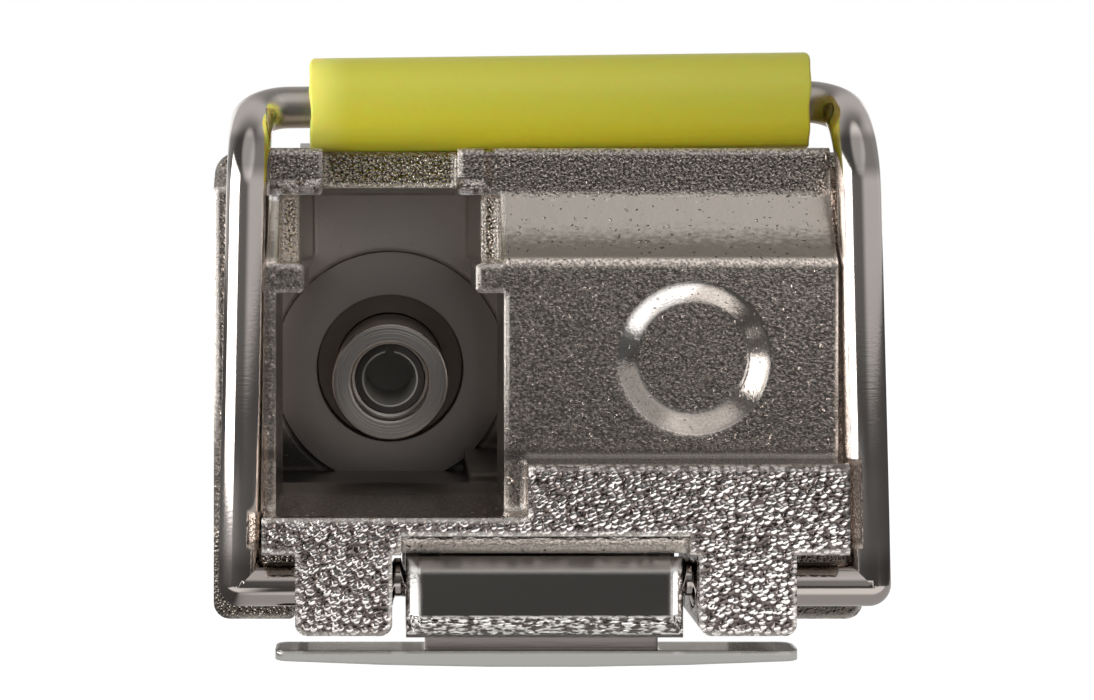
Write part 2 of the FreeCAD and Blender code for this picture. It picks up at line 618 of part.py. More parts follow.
def bail_sleeve():
    """Plastic tube on the crossbar."""
    tube = rod_x(SLEEVE_DIAMETER / 2, TUBE_LEFT, TUBE_RIGHT, CROSSBAR_Y, CROSSBAR_Z)
    return tube.cut(rod_x(WIRE_RADIUS + SLEEVE_FIT, TUBE_LEFT, TUBE_RIGHT, CROSSBAR_Y, CROSSBAR_Z))


def lever_tab():
    """Front tab of the lever: bevelled face, and an open-topped pocket at each side for a cam end."""
    half = TAB_WIDTH / 2
    tab = box((-half, half), (TAB_FRONT, TAB_BACK), (TAB_LOW, TAB_TOP))
    front = [e for e in tab.Edges if all(abs(v.Y - TAB_FRONT) < 1e-6 for v in e.Vertexes)]
    tab = tab.makeChamfer(TAB_BEVEL, front)
    sweep = math.hypot(CAM_WIDTH, CAM_THICKNESS) / 2 + CAM_SWEEP_CLEARANCE
    floor = PIVOT_Z - CAM_THICKNESS / 2 - CAM_POCKET_FLOOR_GAP
    pocket = box((half - CAM_LENGTH, half), (PIVOT_Y - sweep, PIVOT_Y + sweep), (floor, TAB_TOP))
    return tab.cut([pocket, mirrored(pocket)])


def lever_strip():
    """Thin crosswise strip under the tab, crowned below, on a short web."""
    low = STRIP_TOP - STRIP_END_THICKNESS
    left, right = vec(STRIP_LEFT, 0, low), vec(STRIP_RIGHT, 0, low)
    up = vec(0, 0, STRIP_END_THICKNESS)
    crown = (left + right) / 2 - vec(0, 0, STRIP_CROWN)
    under = Part.Arc(left, crown, right).toShape()
    sides = Part.makePolygon([right, right + up, left + up, left]).Edges
    bar = Part.Face(Part.Wire([under] + sides)).extrude(vec(0, STRIP_DEPTH, 0))
    plan = prism_z([(STRIP_LEFT, 0, STRIP_CORNER), (STRIP_RIGHT, 0, STRIP_CORNER),
                    (STRIP_RIGHT, STRIP_DEPTH, STRIP_CORNER), (STRIP_LEFT, STRIP_DEPTH, STRIP_CORNER)],
                   low - OVERRUN, STRIP_TOP)
    web = box((-WEB_WIDTH / 2, WEB_WIDTH / 2), (WEB_INSET, STRIP_DEPTH - WEB_INSET),
              (STRIP_TOP - LAP, TAB_LOW + LAP))
    return bar.common(plan).fuse(web)


def latch_lever():
    """See-saw latch lever: tab and strip in front, hub on the pin, tail with the latch boss at the rear."""
    arm_low = ARM_TOP - ARM_THICKNESS
    tail_low = TAIL_TOP - TAIL_THICKNESS
    tail_end = LATCH_Y + BOSS_LENGTH
    step = TAIL_START + SLOT_ROOF_CLEARANCE
    boss_low = NOSE_LOW - LATCH_DROP
    arm = box((-ARM_WIDTH / 2, ARM_WIDTH / 2), (TAB_BACK - LAP, TAIL_START - SLOT_ROOF_CLEARANCE),
              (arm_low, ARM_TOP))
    root = step - OVERRUN
    tail = prism_x([(root, arm_low), (step + TAIL_STEP, arm_low), (STOP_Y - LAP, tail_low),
                    (LATCH_Y, tail_low), (LATCH_Y, boss_low), (tail_end, tail_low), (tail_end, TAIL_TOP),
                    (step, TAIL_TOP), (step, ARM_TOP), (root, ARM_TOP)], -TAIL_WIDTH / 2, TAIL_WIDTH / 2)
    hub = rod_x(HUB_DIAMETER / 2, -HUB_WIDTH / 2, HUB_WIDTH / 2, LEVER_PIVOT_Y, LEVER_PIVOT_Z)
    bore = rod_x(PIN_DIAMETER / 2 + PIN_RUNNING_CLEARANCE, -HUB_WIDTH, HUB_WIDTH, LEVER_PIVOT_Y,
                 LEVER_PIVOT_Z)
    return lever_tab().fuse([lever_strip(), arm, tail, hub]).cut(bore).removeSplitter()


def lever_pin():
    reach = HUB_WIDTH / 2 + HUB_SIDE_GAP + LUG_WIDTH
    return rod_x(PIN_DIAMETER / 2, -reach, reach, LEVER_PIVOT_Y, LEVER_PIVOT_Z)


def ribbon(path, across, normal):
    """Thin strip along a bent path: across spans its width at the path's start, and normal its thickness."""
    start = path[0][0]
    side, other = start - across / 2, start + across / 2
    corners = [side, other, other + normal, side + normal]
    section = Part.makePolygon(corners + corners[:1])
    return Part.Wire(rounded_edges(path, False)).makePipeShell([section], True, False)


def lever_spring():
    """Leaf spring between the slot's roof and the lever's tail, pushing the latch boss out."""
    t = SPRING_THICKNESS
    rear = SLOT_END - SLOT_SIDE_CLEARANCE
    seat = rear - SPRING_SEAT_LENGTH
    gap = SLOT_ROOF_CLEARANCE / 2
    outline = [(rear, slot_roof(rear)), (seat, slot_roof(seat)), (SPRING_TIP_Y, TAIL_TOP + t + gap / 2),
               (SPRING_TIP_Y, TAIL_TOP + gap / 2), (seat, slot_roof(seat) - t), (rear, slot_roof(rear) - t)]
    return prism_x(outline, -SPRING_WIDTH / 2, SPRING_WIDTH / 2)


def receptacle_barrel():
    """Turned steel barrel: chamfered nose, wide mouth, and the bore that holds the split sleeve and stub."""
    outer, mouth = BARREL_DIAMETER / 2, MOUTH_DIAMETER / 2
    bore = SPLIT_SLEEVE_DIAMETER / 2 + OPTIC_FIT
    y0, y1 = BARREL_FRONT, BARREL_REAR
    return lathe_y([(mouth, y0), (outer - BARREL_EDGE, y0), (outer, y0 + BARREL_EDGE), (outer, y1),
                    (bore, y1), (bore, SLEEVE_FRONT), (mouth, SLEEVE_FRONT)], PORT_X, 0)


def split_sleeve():
    """Slit ceramic tube that centres the connector's ferrule."""
    inner, outer = FERRULE_DIAMETER / 2, SPLIT_SLEEVE_DIAMETER / 2
    tube = lathe_y([(inner, SLEEVE_FRONT), (outer, SLEEVE_FRONT), (outer, SLEEVE_END), (inner, SLEEVE_END)],
                   PORT_X, 0)
    return tube.cut(box((PORT_X - SPLIT_GAP / 2, PORT_X + SPLIT_GAP / 2), (SLEEVE_FRONT, SLEEVE_END),
                        (0, BARREL_DIAMETER)))


def fibre_stub():
    """Ceramic stub in the barrel, which closes the rear of the split sleeve."""
    radius = SPLIT_SLEEVE_DIAMETER / 2
    return lathe_y([(0, SLEEVE_END), (radius, SLEEVE_END), (radius, BARREL_REAR - STUB_EDGE),
                    (radius - STUB_EDGE, BARREL_REAR), (0, BARREL_REAR)], PORT_X, 0)


def receptacle_holder():
    """Turned disc that centres the barrel in the bulkhead, with a round recess in its front."""
    outer, recess = HOLDER_DIAMETER / 2, HOLDER_RECESS_DIAMETER / 2
    bore = BARREL_DIAMETER / 2 + HOLDER_FIT
    y0, y1 = BULKHEAD_FRONT, LAND_END
    return lathe_y([(recess, y0), (outer - HOLDER_EDGE, y0), (outer, y0 + HOLDER_EDGE), (outer, y1),
                    (bore, y1), (bore, y0 + HOLDER_RECESS_DEPTH), (recess, y0 + HOLDER_RECESS_DEPTH)],
                   PORT_X, 0)


def osa_clamp():
    """Forked plate pushed down over the neck, which keeps the holder in the bulkhead."""
    neck = NECK_DIAMETER / 2 + CLAMP_CLEARANCE
    left = SKIRT_WIDTH + CLAMP_CLEARANCE - NOSE_WIDTH / 2
    y0, y1 = LAND_END, LAND_END + CLAMP_THICKNESS
    plate = prism_y([(left, CLAMP_TOP), (left, TROUGH_FLOOR + BOTTOM_CHAMFER),
                     (PORT_X - neck, TROUGH_FLOOR), (PORT_X + neck, CLAMP_RIGHT_FOOT),
                     (-CLAMP_RIGHT, CLAMP_RIGHT_FOOT), (-CLAMP_RIGHT, CLAMP_TOP)], y0, y1)
    throat = box((PORT_X - neck, PORT_X + neck), (y0, y1), (TROUGH_FLOOR, 0))
    return plate.cut([rod_y(neck, y0, y1, PORT_X, 0), throat])


def osa_housing():
    """Turned housing of the two-way optics, with a neck in front and a flat for the detector."""
    neck = NECK_DIAMETER / 2
    bore = BARREL_DIAMETER / 2 + HOLDER_FIT
    outer = HOUSING_DIAMETER / 2
    turned = lathe_y([(bore, LAND_END), (neck, LAND_END), (neck, HOUSING_FRONT), (outer, HOUSING_FRONT),
                      (outer, HOUSING_REAR), (0, HOUSING_REAR), (0, BARREL_REAR), (bore, BARREL_REAR)],
                     PORT_X, 0)
    middle = detector_line()
    flat = HOUSING_FLAT_WIDTH / 2
    pad = box((PORT_X, HOUSING_FLAT_X), (middle - flat, middle + flat), (-flat, flat))
    pad = pad.cut(rod_y(outer - LAP, FRONT, REAR_Y, PORT_X, 0))
    return turned.fuse(pad)


def lead_places():
    """Offsets of the four leads of a can, on a circle."""
    radius = LEAD_CIRCLE / 2
    turns = [math.radians(45 + 90 * i) for i in range(4)]
    return [(radius * math.cos(a), radius * math.sin(a)) for a in turns]


def laser_can():
    """Header of the laser can behind the housing."""
    edge = LEAD_DIAMETER / 2
    outer = LASER_HEADER_DIAMETER / 2
    y0, y1 = HOUSING_REAR, HOUSING_REAR + LASER_HEADER_LENGTH
    return lathe_y([(0, y0), (outer - edge, y0), (outer, y0 + edge), (outer, y1), (0, y1)], PORT_X, 0)


def laser_leads():
    y0 = HOUSING_REAR + LASER_HEADER_LENGTH
    return [prism_y(octagon(LEAD_DIAMETER / 2, PORT_X + u, v), y0, y0 + LEAD_LENGTH)
            for u, v in lead_places()]


def detector_line():
    """Station of the detector's axis."""
    return HOUSING_FRONT + DETECTOR_FROM_HOUSING_FRONT


def detector_can():
    """Detector can on the housing's flat: cap, then its wider header."""
    cap, header = DETECTOR_CAP_DIAMETER / 2, DETECTOR_HEADER_DIAMETER / 2
    x0 = HOUSING_FLAT_X
    x1 = x0 + DETECTOR_CAP_LENGTH
    x2 = x1 + DETECTOR_HEADER_LENGTH
    return lathe_x([(0, x0), (cap, x0), (cap, x1), (header, x1), (header, x2), (0, x2)], detector_line(), 0)


def detector_leads():
    x0 = HOUSING_FLAT_X + DETECTOR_CAP_LENGTH + DETECTOR_HEADER_LENGTH
    middle = detector_line()
    return [prism_x(octagon(LEAD_DIAMETER / 2, middle + u, v), x0, x0 + LEAD_LENGTH)
            for u, v in lead_places()]


def laser_flex():
    """Flexible tail from the laser's leads, bent down on to the front of the board."""
    y0 = HOUSING_REAR + LASER_HEADER_LENGTH + FLEX_STANDOFF
    path = [(vec(PORT_X, y0, FLEX_WIDTH / 2), 0), (vec(PORT_X, y0, BOARD_TOP), FLEX_BEND),
            (vec(PORT_X, BOARD_FRONT + FLEX_LAP, BOARD_TOP), 0)]
    tail = ribbon(path, vec(FLEX_WIDTH, 0, 0), vec(0, FLEX_THICKNESS, 0))
    hole = LEAD_DIAMETER / 2 + FLEX_HOLE_CLEARANCE
    holes = [prism_y(octagon(hole, PORT_X + u, v), y0 - FLEX_BEND, y0 + FLEX_BEND) for u, v in lead_places()]
    return tail.cut(holes)


def detector_flex():
    """Flexible tail from the detector's leads, folded flat and led back on to the board."""
    x0 = HOUSING_FLAT_X + DETECTOR_CAP_LENGTH + DETECTOR_HEADER_LENGTH + FLEX_STANDOFF
    y0 = detector_line()
    outer = x0 + FLEX_BEND + FLEX_TAIL_WIDTH
    path = [(vec(x0, y0, FLEX_WIDTH / 2), 0), (vec(x0, y0, BOARD_TOP), FLEX_BEND),
            (vec(outer, y0, BOARD_TOP), 0)]
    fold = ribbon(path, vec(0, FLEX_WIDTH, 0), vec(FLEX_THICKNESS, 0, 0))
    tail = box((x0 + FLEX_BEND, outer), (y0, BOARD_FRONT + FLEX_LAP), (BOARD_TOP, BOARD_TOP + FLEX_THICKNESS))
    hole = LEAD_DIAMETER / 2 + FLEX_HOLE_CLEARANCE
    holes = [prism_x(octagon(hole, y0 + u, v), x0 - FLEX_BEND, x0 + FLEX_BEND) for u, v in lead_places()]
    return fold.fuse(tail).cut(holes).removeSplitter()


def circuit_board():
    """Circuit board: wide body, and the narrow tongue that enters the host connector."""
    wide, tongue = BOARD_WIDE / 2, BOARD_TONGUE / 2
    right = [(wide, BOARD_FRONT), (wide, BOARD_SHOULDER), (tongue, BOARD_SHOULDER),
             (tongue, BOARD_END - BOARD_CORNER), (tongue - BOARD_CORNER, BOARD_END)]
    left = [(-x, y) for x, y in reversed(right)]
    return prism_z(right + left, BOARD_LOW, BOARD_TOP)


def contact_pads():
    """Gold edge contacts on both faces, the outer and middle ones longer so that they meet first."""
    pads = []
    for i in range(PAD_COUNT):
        x = (i - (PAD_COUNT - 1) / 2) * PAD_PITCH
        length = PAD_LENGTH_EARLY if i in (0, PAD_COUNT // 2, PAD_COUNT - 1) else PAD_LENGTH
        end = BOARD_END - PAD_FROM_END - (PAD_LENGTH_EARLY - length)
        span = (x - PAD_WIDTH / 2, x + PAD_WIDTH / 2), (end - length, end)
        pads.append(box(*span, (BOARD_TOP, BOARD_TOP + PAD_THICKNESS)))
        pads.append(box(*span, (BOARD_LOW - PAD_THICKNESS, BOARD_LOW)))
    return pads


def block(size, place, z0, z1):
    """Upright block of a size's width and length, centred on a place of the board."""
    x, y = place
    return box((x - size[0] / 2, x + size[0] / 2), (y - size[1] / 2, y + size[1] / 2), (z0, z1))


def chip(size, place, up=True):
    """Moulded chip on the board's upper or lower face, with an eight-sided mark in one corner."""
    width, length, height = size
    x, y = place
    z0, z1 = (BOARD_TOP, BOARD_TOP + height) if up else (BOARD_LOW - height, BOARD_LOW)
    body = block(size, place, z0, z1)
    face = z1 - CHIP_MARK_DEPTH if up else z0
    mark = octagon(CHIP_MARK_DIAMETER / 2, x - width / 2 + CHIP_MARK_INSET, y - length / 2 + CHIP_MARK_INSET)
    return body.cut(prism_z(mark, face, face + CHIP_MARK_DEPTH))


def thermal_pad():
    """Soft pad that carries the driver's heat into the trough's floor."""
    return block(DRIVER_SIZE, DRIVER_PLACE, TROUGH_FLOOR, BOARD_LOW - DRIVER_SIZE[2])


def small_row(size, start):
    """Row of two-ended chip components along y, each a body between two slightly larger end caps."""
    width, length, height = size
    row = []
    for i in range(SMALL_COUNT):
        x, y = start[0], start[1] + i * SMALL_PITCH
        cap = length * END_CAP_SHARE
        proud = END_CAP_PROUD
        body = box((x - width / 2, x + width / 2), (y, y + length), (BOARD_TOP, BOARD_TOP + height))
        caps = [box((x - width / 2 - proud, x + width / 2 + proud), (y0, y0 + cap),
                    (BOARD_TOP, BOARD_TOP + height + proud)) for y0 in (y, y + length - cap)]
        row.append(body.fuse(caps).removeSplitter())
    return row


def rows(size, starts):
    return [part for start in starts for part in small_row(size, start)]


def inductor(place):
    """Moulded power inductor with bevelled upright edges."""
    body = block(INDUCTOR_SIZE, place, BOARD_TOP, BOARD_TOP + INDUCTOR_SIZE[2])
    upright = [e for e in body.Edges if abs(e.tangentAt(e.FirstParameter).z) > 0.5]
    return body.makeChamfer(INDUCTOR_BEVEL, upright)


PIECES = {
    "main_casting": main_casting(),
    "top_cover": top_cover(),
    "finger_collar": finger_collar(),
    "bail_wire": bail_wire(),
    "bail_sleeve": bail_sleeve(),
    "latch_lever": latch_lever(),
    "lever_pin": lever_pin(),
    "lever_spring": lever_spring(),
    "receptacle_barrel": receptacle_barrel(),
    "split_sleeve": split_sleeve(),
    "fibre_stub": fibre_stub(),
    "receptacle_holder": receptacle_holder(),
    "osa_clamp": osa_clamp(),
    "osa_housing": osa_housing(),
    "laser_can": laser_can(),
    "laser_leads": Part.Compound(laser_leads()),
    "laser_flex": laser_flex(),
    "detector_can": detector_can(),
    "detector_leads": Part.Compound(detector_leads()),
    "detector_flex": detector_flex(),
    "circuit_board": circuit_board(),
    "contact_pads": Part.Compound(contact_pads()),
    "driver_chip": chip(DRIVER_SIZE, DRIVER_PLACE, up=False),
    "thermal_pad": thermal_pad(),
    "amplifier_chip": chip(AMPLIFIER_SIZE, AMPLIFIER_PLACE),
    "controller_chip": chip(CONTROLLER_SIZE, CONTROLLER_PLACE),
    "memory_chip": chip(MEMORY_SIZE, MEMORY_PLACE),
    "chip_capacitors": Part.Compound(rows(CHIP_CAPACITOR, CAPACITOR_ROWS)),
    "chip_resistors": Part.Compound(rows(CHIP_RESISTOR, RESISTOR_ROWS)),
    "power_inductors": Part.Compound([inductor(place) for place in INDUCTOR_PLACES]),
}

whole = Part.Compound(list(PIECES.values())).BoundBox
to_origin = vec(-whole.Center.x, -whole.Center.y, -whole.ZMin)
os.makedirs("parts", exist_ok=True)
for name, piece in PIECES.items():
    piece.translated(to_origin).exportStep(os.path.join("parts", name + ".step"))
print("moved by", to_origin)
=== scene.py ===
import math
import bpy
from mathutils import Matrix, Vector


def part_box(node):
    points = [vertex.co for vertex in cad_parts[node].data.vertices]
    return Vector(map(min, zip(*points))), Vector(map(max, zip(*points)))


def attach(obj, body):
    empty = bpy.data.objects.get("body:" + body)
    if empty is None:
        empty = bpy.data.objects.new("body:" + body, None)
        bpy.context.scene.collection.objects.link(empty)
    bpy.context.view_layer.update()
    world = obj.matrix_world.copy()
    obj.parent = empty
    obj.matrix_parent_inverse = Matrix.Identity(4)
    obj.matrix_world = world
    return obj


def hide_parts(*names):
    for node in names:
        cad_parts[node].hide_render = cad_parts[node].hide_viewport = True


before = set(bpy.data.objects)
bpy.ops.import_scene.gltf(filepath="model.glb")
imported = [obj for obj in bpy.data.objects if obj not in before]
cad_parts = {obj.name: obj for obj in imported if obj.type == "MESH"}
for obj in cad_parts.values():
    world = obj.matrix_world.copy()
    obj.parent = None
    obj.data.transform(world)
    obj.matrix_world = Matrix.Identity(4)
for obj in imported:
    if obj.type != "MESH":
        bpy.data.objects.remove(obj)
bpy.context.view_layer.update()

from types import SimpleNamespace

import bpy
import numpy as np
from mathutils import Vector

MM = 0.001
# Centre line, main face and optical axis of the head in the frame, from which all places below are counted,
# in millimetres
HEAD = np.array([0.0, -27.15, 5.46])


def to_frame(points):
    """Millimetres from the head's centre line, main face and optical axis, as metres of the frame."""
    return (np.asarray(points, float) + HEAD) * MM


def node_box(node):
    """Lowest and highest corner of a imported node, in millimetres from the head's origin."""
    return [np.array(corner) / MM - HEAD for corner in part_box(node)]


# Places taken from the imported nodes
CASTING_LOW, _ = node_box("main_casting")
BARREL_LOW, BARREL_HIGH = node_box("receptacle_barrel")
HOLDER_LOW, HOLDER_HIGH = node_box("receptacle_holder")
SLEEVE_LOW, SLEEVE_HIGH = node_box("bail_sleeve")
BEHIND_STEP = float(CASTING_LOW[1]) + 0.25
PORT_X = float(BARREL_LOW[0] + BARREL_HIGH[0]) / 2
BARREL_RADIUS = float(BARREL_HIGH[0] - BARREL_LOW[0]) / 2
BAR_Y, BAR_Z = ((SLEEVE_LOW + SLEEVE_HIGH) / 2)[1:].tolist()
HOLDER_POCKET = float(HOLDER_LOW[1]) + 0.7

# Borders of the casting's regions
MAIN_BACK = 0.825
STEP_TOP = -1.16
SCOOP_TOP, SCOOP_BACK = -2.8, 0.85
SKIRT_TOP, SKIRT_FRONT, SKIRT_BACK = -2.85, 0.95, 7.9
COVE_FOOT, BAND_FOOT, BAND_BACK = 2.95, 4.3, 1.05
LIP_RIGHT, LIP_FOOT, LIP_TOP = -1.05, 4.15, 4.56
WALL_FRONT, WALL_BACK, WALL_FOOT, NOTCH_TOP = 1.6, 2.0, 2.7, 4.35
PORT_HALF_WIDTH, PORT_FRONT, PORT_BACK = 3.074, 2.5, 9.8
PIT_TOP, CORNER_FRONT = -1.6, 7.0
COIN_X, COIN_Z, COIN_INNER, COIN_OUTER = 3.15, 0.9, 1.151, 1.573

# Lever: the tab between the ears, with its crumpled edge, and the strip below it
TAB_HALF_WIDTH, TAB_BEVEL = 2.8, 0.26
TAB_TOP, TAB_LOW, STRIP_TOP = -3.06, -4.7, -5.13
CRUMPLE_TOP, CRUMPLE_BACK = -4.24, -0.3

# Bail: its wire, y and z of its hinge line and of its kinks, the height above which its arms are clear of the
# hinge line, and the ears' inner side
WIRE_RADIUS = 0.45
PIVOT_Y, PIVOT_Z = -0.1, -3.73
KINK_Y, KINK_Z = 0.25, 5.35
CLEAR_OF_PIVOT = -3.0
EAR_INNER = 3.08

# Connector's ferrule, and the rounding of the small pieces' edges
FERRULE_RADIUS = 0.625
SMALL_EDGE = 0.03


# Shader arithmetic

class Sock:
    """An output of a node. Arithmetic on it adds Math nodes."""

    def __init__(self, tree, socket):
        self.tree, self.socket = tree, socket

    def math(self, operation, *values):
        """A Math node on the values."""
        return self.tree.node("ShaderNodeMath", {"operation": operation}, dict(enumerate(values)))

    def __abs__(self):
        return self.math("ABSOLUTE", self)

    def __add__(self, other):
        return self.math("ADD", self, other)

    def __sub__(self, other):
        return self.math("SUBTRACT", self, other)

    def __rsub__(self, other):
        return self.math("SUBTRACT", other, self)

    def __mul__(self, other):
        return self.math("MULTIPLY", self, other)

    def __pow__(self, other):
        return self.math("POWER", self, other)

    __radd__ = __add__
    __rmul__ = __mul__


class Tree:
    """The nodes of one material or of the world."""

    def __init__(self, data):
        data.use_nodes = True
        self.nodes, self.links = data.node_tree.nodes, data.node_tree.links
        self.nodes.clear()

    def node(self, kind, settings=None, sockets=None, out=0):
        """Adds a node: its settings, then each socket's value or link. Gives one of its outputs, if any."""
        made = self.nodes.new(kind)
        for key, value in (settings or {}).items():
            setattr(made, key, value)
        for key, value in (sockets or {}).items():
            if isinstance(value, Sock):
                self.links.new(value.socket, made.inputs[key])
            else:
                made.inputs[key].default_value = value
        return Sock(self, made.outputs[out]) if made.outputs else None

    def place(self):
        """Object coordinates, and their three parts in millimetres from the head's origin."""
        spot = self.node("ShaderNodeTexCoord", out="Object")
        parts = [self.node("ShaderNodeSeparateXYZ", sockets={0: spot}, out=i) for i in range(3)]
        return spot, [part * (1 / MM) - HEAD[i] for i, part in enumerate(parts)]

    def ray(self, kind):
        """1 for rays of a kind, 0 for others."""
        return self.node("ShaderNodeLightPath", out=f"Is {kind} Ray")

    def rise(self, value, start, end):
        """Smooth step from 0, where value is at start, to 1, where it is at end, which may be the lower."""
        return self.node("ShaderNodeMapRange", {"interpolation_type": "SMOOTHSTEP"},
                         {0: value, 1: start, 2: end})

    def above(self, value, place, blend):
        """1 above a place and 0 below it, smooth over a width of blend."""
        return self.rise(value, place - blend / 2, place + blend / 2)

    def below(self, value, place, blend):
        """1 below a place and 0 above it, smooth over a width of blend."""
        return self.rise(value, place + blend / 2, place - blend / 2)

    def between(self, value, low, high, blend):
        """1 from low to high, with both ends smooth over a width of blend."""
        return self.above(value, low, blend) * self.below(value, high, blend)

    def distance(self, across, up):
        """Root of the sum of two squares."""
        return (across ** 2.0 + up ** 2.0) ** 0.5

    def noise(self, spot, size, detail=2.0, rough=0.5):
        """Noise from 0 to 1 whose features are about size millimetres wide."""
        return self.node("ShaderNodeTexNoise", None,
                         {"Vector": spot, "Scale": 1 / (size * MM), "Detail": detail, "Roughness": rough})

    def domes(self, spot, size):
        """Domes about size millimetres wide: 1 less the square of the way from the nearest cell's middle."""
        away = self.node("ShaderNodeTexVoronoi", None,
                         {"Vector": spot, "Scale": 1 / (size * MM), "Randomness": 1.0})
        return 1 - away ** 2.0

    def dot(self, first, second):
        """Dot product of two vectors."""
        return self.node("ShaderNodeVectorMath", {"operation": "DOT_PRODUCT"},
                         {0: first, 1: second}, out="Value")

    def stretched(self, spot, scale, turn=0.0):
        """Coordinates turned about y, if asked, then scaled along each axis."""
        if turn:
            spot = self.node("ShaderNodeVectorRotate", {"rotation_type": "Y_AXIS"},
                             {"Vector": spot, "Angle": turn})
        return self.node("ShaderNodeVectorMath", {"operation": "MULTIPLY"}, {0: spot, 1: scale})

    def mix(self, share, first, second):
        """Colour between first and second."""
        return self.node("ShaderNodeMix", {"data_type": "RGBA"}, {0: share, 6: first, 7: second}, out=2)

    def layered(self, colour, *layers):
        """A colour with layers over it, each given as its share and its own colour."""
        for share, over in layers:
            colour = self.mix(share, colour, over)
        return colour

    def soft_edge(self, radius):
        """Normal over edges rounded by a radius in millimetres."""
        return self.node("ShaderNodeBevel", {"samples": 4}, {"Radius": radius * MM})

    def rim(self, normal):
        """1 on the edges where a rounded normal leaves the face's own, 0 on the faces."""
        flat = self.node("ShaderNodeNewGeometry", out="True Normal")
        return self.rise(self.dot(normal, flat), 0.985, 0.92)

    def bump(self, height, normal=None):
        """Normal of a height in millimetres, on a normal if one is given."""
        sockets = {"Height": height, "Strength": 1.0, "Distance": MM}
        if normal is not None:
            sockets["Normal"] = normal
        return self.node("ShaderNodeBump", None, sockets)

    def surface(self, **inputs):
        """Principled surface as the material's output. A name's underscores stand for blanks."""
        sockets = {key.replace("_", " "): value for key, value in inputs.items()}
        self.show(self.node("ShaderNodeBsdfPrincipled", None, sockets))

    def show(self, shader, kind="ShaderNodeOutputMaterial"):
        """Makes a shader the output."""
        self.node(kind, None, {"Surface": shader})


def new_finish(name):
    """A new material and its nodes."""
    made = bpy.data.materials.new(name)
    return made, Tree(made)


# Finishes

def casting_regions(t, spot, x, y, z):
    """Shares from 0 to 1 of the casting's regions, each a product of smooth steps. The border between the
    cove and the band above it wanders with noise."""
    at = SimpleNamespace()
    before_main = t.below(y, MAIN_BACK, 0.15)
    at.proud = t.below(y, BEHIND_STEP, 0.2)
    at.ledge = t.above(z, STEP_TOP - 0.05, 0.1) * t.below(z, STEP_TOP + 0.19, 0.18) * t.below(y, 0.25, 0.1)
    at.scoop = t.below(z, SCOOP_TOP, 0.1) * t.above(y, BEHIND_STEP, 0.2) * t.below(y, SCOOP_BACK, 0.1)
    at.skirt = t.below(z, SKIRT_TOP, 0.5) * t.above(y, SKIRT_FRONT, 0.1) * t.below(y, SKIRT_BACK, 0.2)

    ragged = z + t.noise(t.stretched(spot, (0.5, 1.0, 1.0)), 0.07) * 0.7 - 0.35
    at.band = t.above(ragged, BAND_FOOT, 0.2) * t.below(y, BAND_BACK, 0.1)
    at.cove = t.above(z, COVE_FOOT, 0.1) * t.below(ragged, BAND_FOOT, 0.2) * before_main
    at.foot = at.cove * t.below(ragged, COVE_FOOT + 0.475, 0.55)

    from_coin = t.distance(x - COIN_X, z - COIN_Z)
    at.coin = t.above(from_coin, COIN_INNER, 0.065) * t.below(from_coin, COIN_OUTER, 0.048) * before_main

    at.wall = t.between(y, WALL_FRONT, WALL_BACK, 0.2) * t.above(z, WALL_FOOT, 0.2)
    at.lip = t.below(x, LIP_RIGHT, 0.3) * t.below(y, BAND_BACK, 0.1)
    within = t.below(abs(x - PORT_X), PORT_HALF_WIDTH, 0.081)
    at.inside = t.above(y, PORT_FRONT, 1.0) * t.below(y, PORT_BACK, 0.2) * within
    at.pit = at.inside * t.below(z, PIT_TOP, 1.2)
    at.corner = at.pit * t.above(y, CORNER_FRONT, 2.0)
    return at


def casting_height(t, spot, z, at, hill, rim):
    """Height of the casting's skin in millimetres: leather on the proud step, tight domes on the skirts and
    on the walls set back in the port's top, fine grain with a few specks elsewhere, and next to nothing on
    the rims."""
    leather = hill * 0.06 + t.noise(spot, 0.25, 1.0) * 0.07 + (z - STEP_TOP) * 0.08
    tight = t.domes(spot, 0.07) * 0.06
    specks = t.rise(t.noise(spot, 0.08, 0.0), 0.74, 0.86) * 0.04
    grain = t.noise(spot, 0.06, 2.0, 0.6) * (0.012 + at.band * 0.02) + specks
    swell = t.noise(spot, 0.5, 3.0) * 0.02
    fine = grain * (1 - at.cove * 0.5 - at.coin * 0.8 - at.inside * 0.8) + swell * at.cove
    skin = leather * at.proud + tight * (at.wall + at.skirt) + fine * (1 - at.proud)
    return skin * (1 - rim * 0.9) + at.lip * t.rise(z, LIP_FOOT + 0.05, LIP_TOP + 0.09) * 0.3


